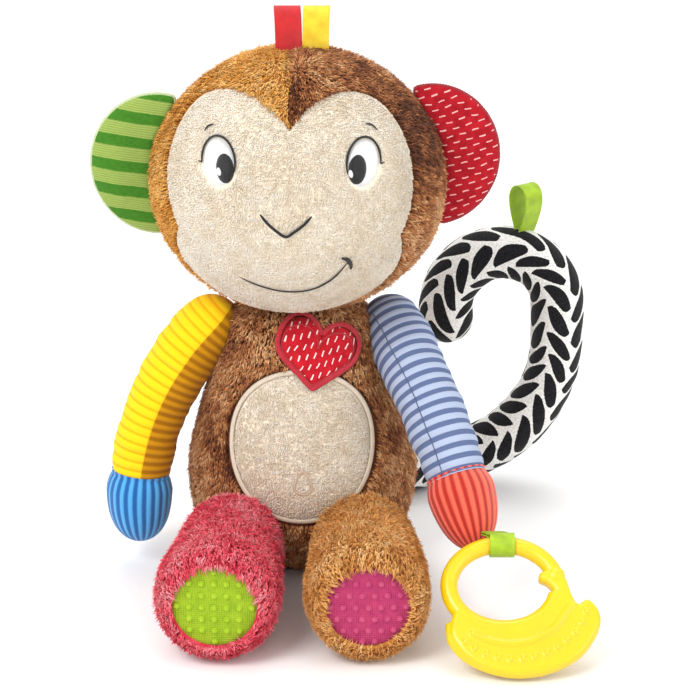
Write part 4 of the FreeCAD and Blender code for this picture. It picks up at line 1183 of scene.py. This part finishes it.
def hand_rings(line, along, blunt):
    """Corduroy ribs run from the cuff to a gathered tip."""
    taper = np.clip((along - 2) / (HAND + HAND_END - 1.9), 0, 1)
    dome = np.sqrt(np.clip(1 - taper ** blunt, 0.0005, 1))
    radius = (15.6 + 1.5 * smooth(0, 9, along) - 1.0 * np.exp(-(along / 2.0) ** 2)) * dome

    def shape(row, angle):
        rib = 0.4 * np.sqrt(np.abs(np.cos(HAND_RIBS / 2 * angle))) - 0.25
        return rib * np.clip(dome[row] * 2, 0, 1)

    return tube(line, radius, 12 * HAND_RIBS, up=(0, 1, 0), shape=shape)


def make_arm(side, elbow, wrist, rib):
    """Makes one arm; its return value is the hand's middle."""
    line, along = arc(joint_at(f"{side}_shoulder"), elbow, wrist, 260)
    cuff = along[-1] - HAND
    back_run = SHOULDER_CAP * np.sin(np.radians(np.linspace(89, 3, CAP_ROWS)))
    sleeve_line = np.vstack([line[0] + unit(line[0] - line[1]) * back_run[:, None], line])
    sleeve_along = np.concatenate([-back_run, along])
    rows = sleeve_along <= cuff + 0.5
    sleeve_line, sleeve_along = sleeve_line[rows], sleeve_along[rows]
    rings = sleeve_rings(sleeve_line, sleeve_along, cuff, rib, 3 + len(side))
    make_sleeve = right_sleeve if side == "right" else left_sleeve
    make_sleeve(sleeve_line, sleeve_along, rings)
    beyond = np.linspace(0.6, HAND_END, 30)
    keep = along >= cuff - 1.5
    hand_line = np.vstack([line[keep], line[-1] + unit(line[-1] - line[-2]) * beyond[:, None]])
    hand_along = np.concatenate([along[keep], along[-1] + beyond]) - cuff
    rings = hand_rings(hand_line, hand_along, 3.0 if side == "right" else 2.3)
    look, slot = (blue_rib, "blue_corduroy") if side == "right" else (coral_rib, "coral_corduroy")
    hand_mesh = grid_mesh(f"{side}_hand_cloth", rings, along=hand_along)
    hand = made(f"{side}_hand_cloth", f"{side}_arm", hand_mesh, [look], slot, f"{side}_hand")
    return line[-1]


hand_ends = {side: make_arm(side, *arm) for side, arm in ARMS.items()}


# == Legs

LEG = curve([  # distance from the hip towards the sole, and radius
    (-24.5, 0.4), (-22.5, 10.5), (-14, 18.5), (0, 23), (16, 24.4), (36, 26.0), (54, 27.4), (66, 27.6),
    (73, 26.2), (77, 24.0), (78, 21.5), (76.6, 19.0), (76.2, 10), (76.2, 0.4)], 170)
LEGS = {"right": (PINK, pink_base, "pink_plush", lime_cloth, lime_rubber, "lime"),
        "left": (LIT_LEG_TAN, tan_base, "tan_plush", magenta_cloth, magenta_rubber, "magenta")}
LEG_TURN = np.arange(150) / 150 * TAU
SOLE_RADIUS = 21.4
SOLE_AT = 77.0
DOT_PITCH = 6.0
DOT_RADIUS = 1.8


def sole_level(share):
    """How far from the hip the domed sole lies, at shares of its radius."""
    return SOLE_AT + 1.6 * (1 - share ** 2.4)


def leg_pile(side, leg, looks, slot, hip, axis):
    def keep(p):
        run = (p - hip) @ axis
        off = np.linalg.norm(p - hip - run[:, None] * axis, axis=1)
        return (run > -16) & ~((off < 21.2) & (run > 60)) & (p[:, 2] > 0.9)

    def comb(p):
        run = (p - hip) @ axis
        out = unit(p - hip - run[:, None] * axis)
        return 0.75 * axis - 0.4 * out * (run > 68)[:, None] + np.array([0, 0, -0.3])

    pile(f"{side}_leg_pile", f"{side}_leg", leg, looks, *LEG_FUR, comb, keep, seed=50 + len(side),
         patch=13, slot=slot, lean=0.95)


def sole_grip(side, look, slot, hip, axis, side_way, up_way):
    """Rows of raised dots, which the left sole has in offset rows."""
    work = bmesh.new()
    for row in range(-3, 4):
        for column in range(-3, 4):
            across = (column + 0.5 * (row % 2) * (side == "left")) * DOT_PITCH
            up = row * DOT_PITCH
            if math.hypot(across, up) < 18.5:
                lift = sole_level(math.hypot(across, up) / SOLE_RADIUS) - 0.3
                centre = (hip + axis * lift + side_way * across + up_way * up) * MM
                for v in bmesh.ops.create_icosphere(work, subdivisions=2, radius=DOT_RADIUS * MM)["verts"]:
                    v.co += Vector(centre)
    mesh = bpy.data.meshes.new(f"{side}_sole_grip")
    work.to_mesh(mesh)
    work.free()
    made(f"{side}_sole_grip", f"{side}_leg", smoothed(mesh), [look], slot, f"{side}_sole_dots")


for side, (looks, base_look, plush_slot, sole_look, dot_look, colour) in LEGS.items():
    hip = joint_at(f"{side}_hip")
    sole_low, sole_high = low_high(f"{side}_sole")
    axis = unit((sole_low + sole_high) / 2 - hip)
    side_way = unit(np.cross(axis, np.array([0, 0, 1.0])))
    up_way = np.cross(side_way, axis)
    line = hip + axis * LEG[:, :1]
    rings = rings_round(line, LEG[:, 1][:, None, None], LEG_TURN, side_way, up_way)
    radial = unit(rings - line[:, None] + 1e-9)
    bulk = 1.8 * (grain(rings, 26, 41 + len(side)) - 0.5) * (LEG[:, 1] > 20)[:, None]
    rings = rings + radial * bulk[..., None]
    rings[..., 2] = np.maximum(rings[..., 2], 1.3)
    leg = made(f"{side}_leg_skin", f"{side}_leg", grid_mesh(f"{side}_leg_skin", rings), [base_look],
               plush_slot, f"{side}_leg_plush", f"{side}_leg_stuffing")
    leg_pile(side, leg, looks, plush_slot, hip, axis)
    share = np.linspace(1, 0.02, 16)
    level = sole_level(share)
    level[0] = SOLE_AT - 1
    sole_radius = (SOLE_RADIUS * share)[:, None, None]
    rings = rings_round(hip + axis * level[:, None], sole_radius, LEG_TURN, side_way, up_way)
    sole_mesh = grid_mesh(f"{side}_sole_cloth", rings, ends=(False, True))
    sole = made(f"{side}_sole_cloth", f"{side}_leg", sole_mesh, [sole_look], f"{colour}_cloth", f"{side}_sole")
    plan(sole.data)
    sole_grip(side, dot_look, f"{colour}_dots", hip, axis, side_way, up_way)


# == Tail

TAIL_RADIUS = 14.6
TAIL_BEND = np.array([67.5, 92.0, 15.0])  # where it starts to rise
SWEEP = 72.0
HOOK = 31.0
POST = 19.5


def arch(centre, radius, start, end, count):
    angles = np.radians(np.linspace(start, end, count))
    return centre + np.stack([radius * np.cos(angles), 0 * angles, radius * np.sin(angles)], -1)


sweep_line = arch(TAIL_BEND + np.array([0, 0, SWEEP]), SWEEP, -90, 0, 60)
hook_line = arch(TAIL_BEND + np.array([SWEEP - HOOK, 0, SWEEP + POST]), HOOK, 0, 192, 90)
rough = np.vstack([np.linspace(joint_at("tail_swing"), TAIL_BEND, 24)[:-1], sweep_line, hook_line])
for _ in range(12):
    rough[1:-1] = (rough[:-2] + 2 * rough[1:-1] + rough[2:]) / 4
rooted = rough[0] - unit(rough[1] - rough[0]) * 21
tip = rough[-1] + unit(rough[-1] - rough[-2]) * 14.2
tail_line, tail_along = even(np.vstack([rooted, rough, tip]), 334)
from_ends = np.minimum(tail_along, tail_along[-1] - tail_along)
round_ends = (1 - np.clip(from_ends / TAIL_RADIUS, 0, 1)) ** 2.1
tail_r = TAIL_RADIUS * np.sqrt(np.clip(1 - round_ends, 0.001, 1))


def tail_shape(row, angle):
    ring = on_tube(tail_along[row], angle, 14)
    lumps = 1.3 * (grain(ring, 24, 61) - 0.5) + 0.6 * (grain(ring * [1.8, 1, 1], 10, 62) - 0.5)
    return lumps * np.clip(from_ends[row] / 12, 0, 1)


rings = tube(tail_line, tail_r, 120, up=(0, 1, 0), shape=tail_shape)
rings[..., 2] = np.maximum(rings[..., 2], 0.4)
tail_mesh = grid_mesh("tail_cloth", rings, along=tail_along)
tail_cloth = tail_mesh.uv_layers[UV].data
tail_uv = read(tail_cloth, "uv", 2)
tail_uv[:, 1] *= 93.0  # mm round the tail, a whole number of columns of leaves
tail_cloth.foreach_set("uv", tail_uv.astype(np.float32).ravel())
tail = made("tail_cloth", "tail", tail_mesh, [leaf_velour], "leaf_velour", "tail_skin", "tail_stuffing")

loop_low, loop_high = low_high("tail_ribbon_loop")
loop_mid = (loop_low + loop_high) / 2
swing = math.radians(38)
through = np.array([math.cos(swing), math.sin(swing), 0])
sideways = np.array([math.sin(swing), -math.cos(swing), 0])
t = np.linspace(-0.92 * math.pi, 0.92 * math.pi, 90)
half_gap, half_rise = 9.4, 13.6
teardrop = np.stack([half_gap * np.sin(t) * (0.62 + 0.38 * np.cos(t)), half_rise * np.cos(t)], -1)
rise_way = np.array([0, 0, 1.0])
loop_line = loop_mid + 0.6 * rise_way + teardrop[:, :1] * sideways + teardrop[:, 1:] * rise_way
band("tail_loop_ribbon", "tail", loop_line, through, LOOP_WIDTH, RIBBON, [lime_satin], "lime_satin",
     ["tail_ribbon_loop"])


# == Teether and its ribbon

LEAN = math.radians(43)
TEETHER = np.array([98.5, -113.8, 34.6])


def on_teether(points):
    p = np.asarray(points, float)
    return TEETHER + np.stack([p[..., 0], p[..., 1] * math.cos(LEAN) - p[..., 2] * math.sin(LEAN),
                               p[..., 1] * math.sin(LEAN) + p[..., 2] * math.cos(LEAN)], -1)


def flat_curve(points, depth, rounding):
    """A flat filled shape with rounded edges, as mesh data."""
    data = bpy.data.curves.new("outline", "CURVE")
    data.dimensions = "2D"
    data.fill_mode = "BOTH"
    data.extrude = (depth / 2 - rounding) * MM
    data.bevel_depth = rounding * MM
    data.bevel_resolution = 4
    data.offset = -rounding * MM
    spline = data.splines.new("POLY")
    spline.points.add(len(points) - 1)
    for point, (x, y) in zip(spline.points, points):
        point.co = (x * MM, y * MM, 0, 1)
    spline.use_cyclic_u = True
    holder = bpy.data.objects.new("outline", data)
    bpy.context.scene.collection.objects.link(holder)
    mesh = bpy.data.meshes.new_from_object(holder.evaluated_get(bpy.context.evaluated_depsgraph_get()))
    bpy.data.objects.remove(holder)
    return mesh


def flat_line(points, count, depth=0.0):
    """A smooth line through points (x, y) at one depth of the teether."""
    return curve([(x, y, depth) for x, y in points], count)


def ball(work, place, radius, subdivisions):
    for v in bmesh.ops.create_icosphere(work, subdivisions=subdivisions, radius=radius * MM)["verts"]:
        v.co += Vector(place * MM)


CLUSTER = [(-25.5, -18), (-25.6, -27), (-18, -37.6), (-6, -43.6), (7, -45.8), (22, -43.2), (36.5, -35),
           (45, -22), (45.4, -13.5), (40.4, -7.2), (35.4, -9.4), (32.4, -4), (30, 3.6), (25, 7.6), (18.4, 6.6),
           (17.2, 2.6), (21, 0.4), (24.2, -4.6), (21, -12), (12, -18.4), (0, -20.6), (-12, -19.4),
           (-22.6, -12.4), (-25.5, -18)]
LOWER_RIM = [(-25.5, -19), (-24.6, -28), (-17.4, -36.4), (-5.6, -41.8), (7, -43.6), (21.4, -41),
             (34.8, -33.4), (42.6, -21.8), (43, -14.4)]
RIDGE = [(-16, -24.6), (-8, -28.6), (2, -30.4), (13, -28.6), (23, -22.6), (29.6, -13.6), (33.6, -9.4)]
BUMPS = [(-19, -29.4), (-10, -35.2), (2, -38), (14, -36.8), (26, -31.6), (35.6, -22.4), (39.4, -14.2)]


def teether_parts():
    """The teether lying flat: a ring whose ball end sits in the claw of a chewing cluster."""
    t = np.radians(np.linspace(14, 349, 180))
    ring_line = np.stack([26 * np.cos(t), 21.5 * np.sin(t), 0 * t], -1)
    meshes = [flat_curve(flat_line(CLUSTER, 200)[:-1, :2], 8.4, 2.6),
              grid_mesh("ring", tube(ring_line, 4.2, 28)),
              grid_mesh("rim", tube(flat_line(LOWER_RIM, 90), 2.6, 20))]
    meshes += [grid_mesh("ridge", tube(flat_line(RIDGE, 70, 3.4 * face), 1.9, 16)) for face in (1, -1)]
    work = bmesh.new()
    for mesh in meshes:
        work.from_mesh(mesh)
    ball(work, ring_line[0], 4.9, 4)
    for place in even(flat_line(BUMPS, 60), 13)[0]:
        for face in (1, -1):
            ball(work, place + np.array([0, 0, 3.9 * face]), 1.55, 3)
    moulding = bpy.data.meshes.new("teether_moulding")
    work.to_mesh(moulding)
    work.free()
    return moulding


def fused(mesh):
    """One closed mesh out of overlapping ones, with eased edges."""
    holder = bpy.data.objects.new("teether_source", mesh)
    bpy.context.scene.collection.objects.link(holder)
    remesh = holder.modifiers.new("fuse", "REMESH")
    remesh.mode = "VOXEL"
    remesh.voxel_size = 0.55 * MM
    ease = holder.modifiers.new("ease", "SMOOTH")
    ease.iterations = 4
    ease.factor = 0.5
    joined = bpy.data.meshes.new_from_object(holder.evaluated_get(bpy.context.evaluated_depsgraph_get()))
    bpy.data.objects.remove(holder)
    return joined


moulding = fused(teether_parts())
places = on_teether(read(moulding.vertices, "co") / MM) * MM
moulding.vertices.foreach_set("co", places.astype(np.float32).ravel())
made("teether_plastic", "teether", smoothed(moulding), [teether_plastic], "yellow_teether", "teether")

# The ribbon runs from the hand to the ring, round it and back.
ring_top = joint_at("teether_swing")
hand_end = hand_ends["left"]
to_hand = unit(np.array([0, hand_end[1] - ring_top[1], hand_end[2] - ring_top[2]]))
foot = hand_end + unit(ring_top - hand_end) * 14.6
neck_point = ring_top + to_hand * 7.4
halfway = (foot + neck_point) / 2
up = np.array([0, 0, 1.0])
t = math.atan2(to_hand[2], to_hand[1]) + np.linspace(0.35, TAU - 0.35, 60)
wrap = ring_top + np.stack([0 * t, 5.7 * np.cos(t), 5.7 * np.sin(t)], -1)
line = np.vstack([curve([foot, halfway + 0.8 * up, neck_point + 0.5 * up], 12)[:-1], wrap,
                  curve([neck_point - 0.5 * up, halfway - 0.6 * up, foot - 0.9 * up], 12)[1:]])
for _ in range(2):
    line[1:-1] = (line[:-2] + 2 * line[1:-1] + line[2:]) / 4
band("hand_ribbon_loop", "left_arm", line, (1, 0, 0), LOOP_WIDTH, 0.6, [lime_satin], "lime_satin",
     ["hand_ribbon"])


# == Pieces inside, which keep their CAD shapes

INSIDE = ("rattle_capsule", "rattle_beads", "squeaker", "right_ear_crackle_film", "left_ear_crackle_film")
for node in INSIDE:
    item = frame["nodes"][node]
    if item.type == "MESH":
        for material_slot in item.material_slots:
            material_slot.material = film_look
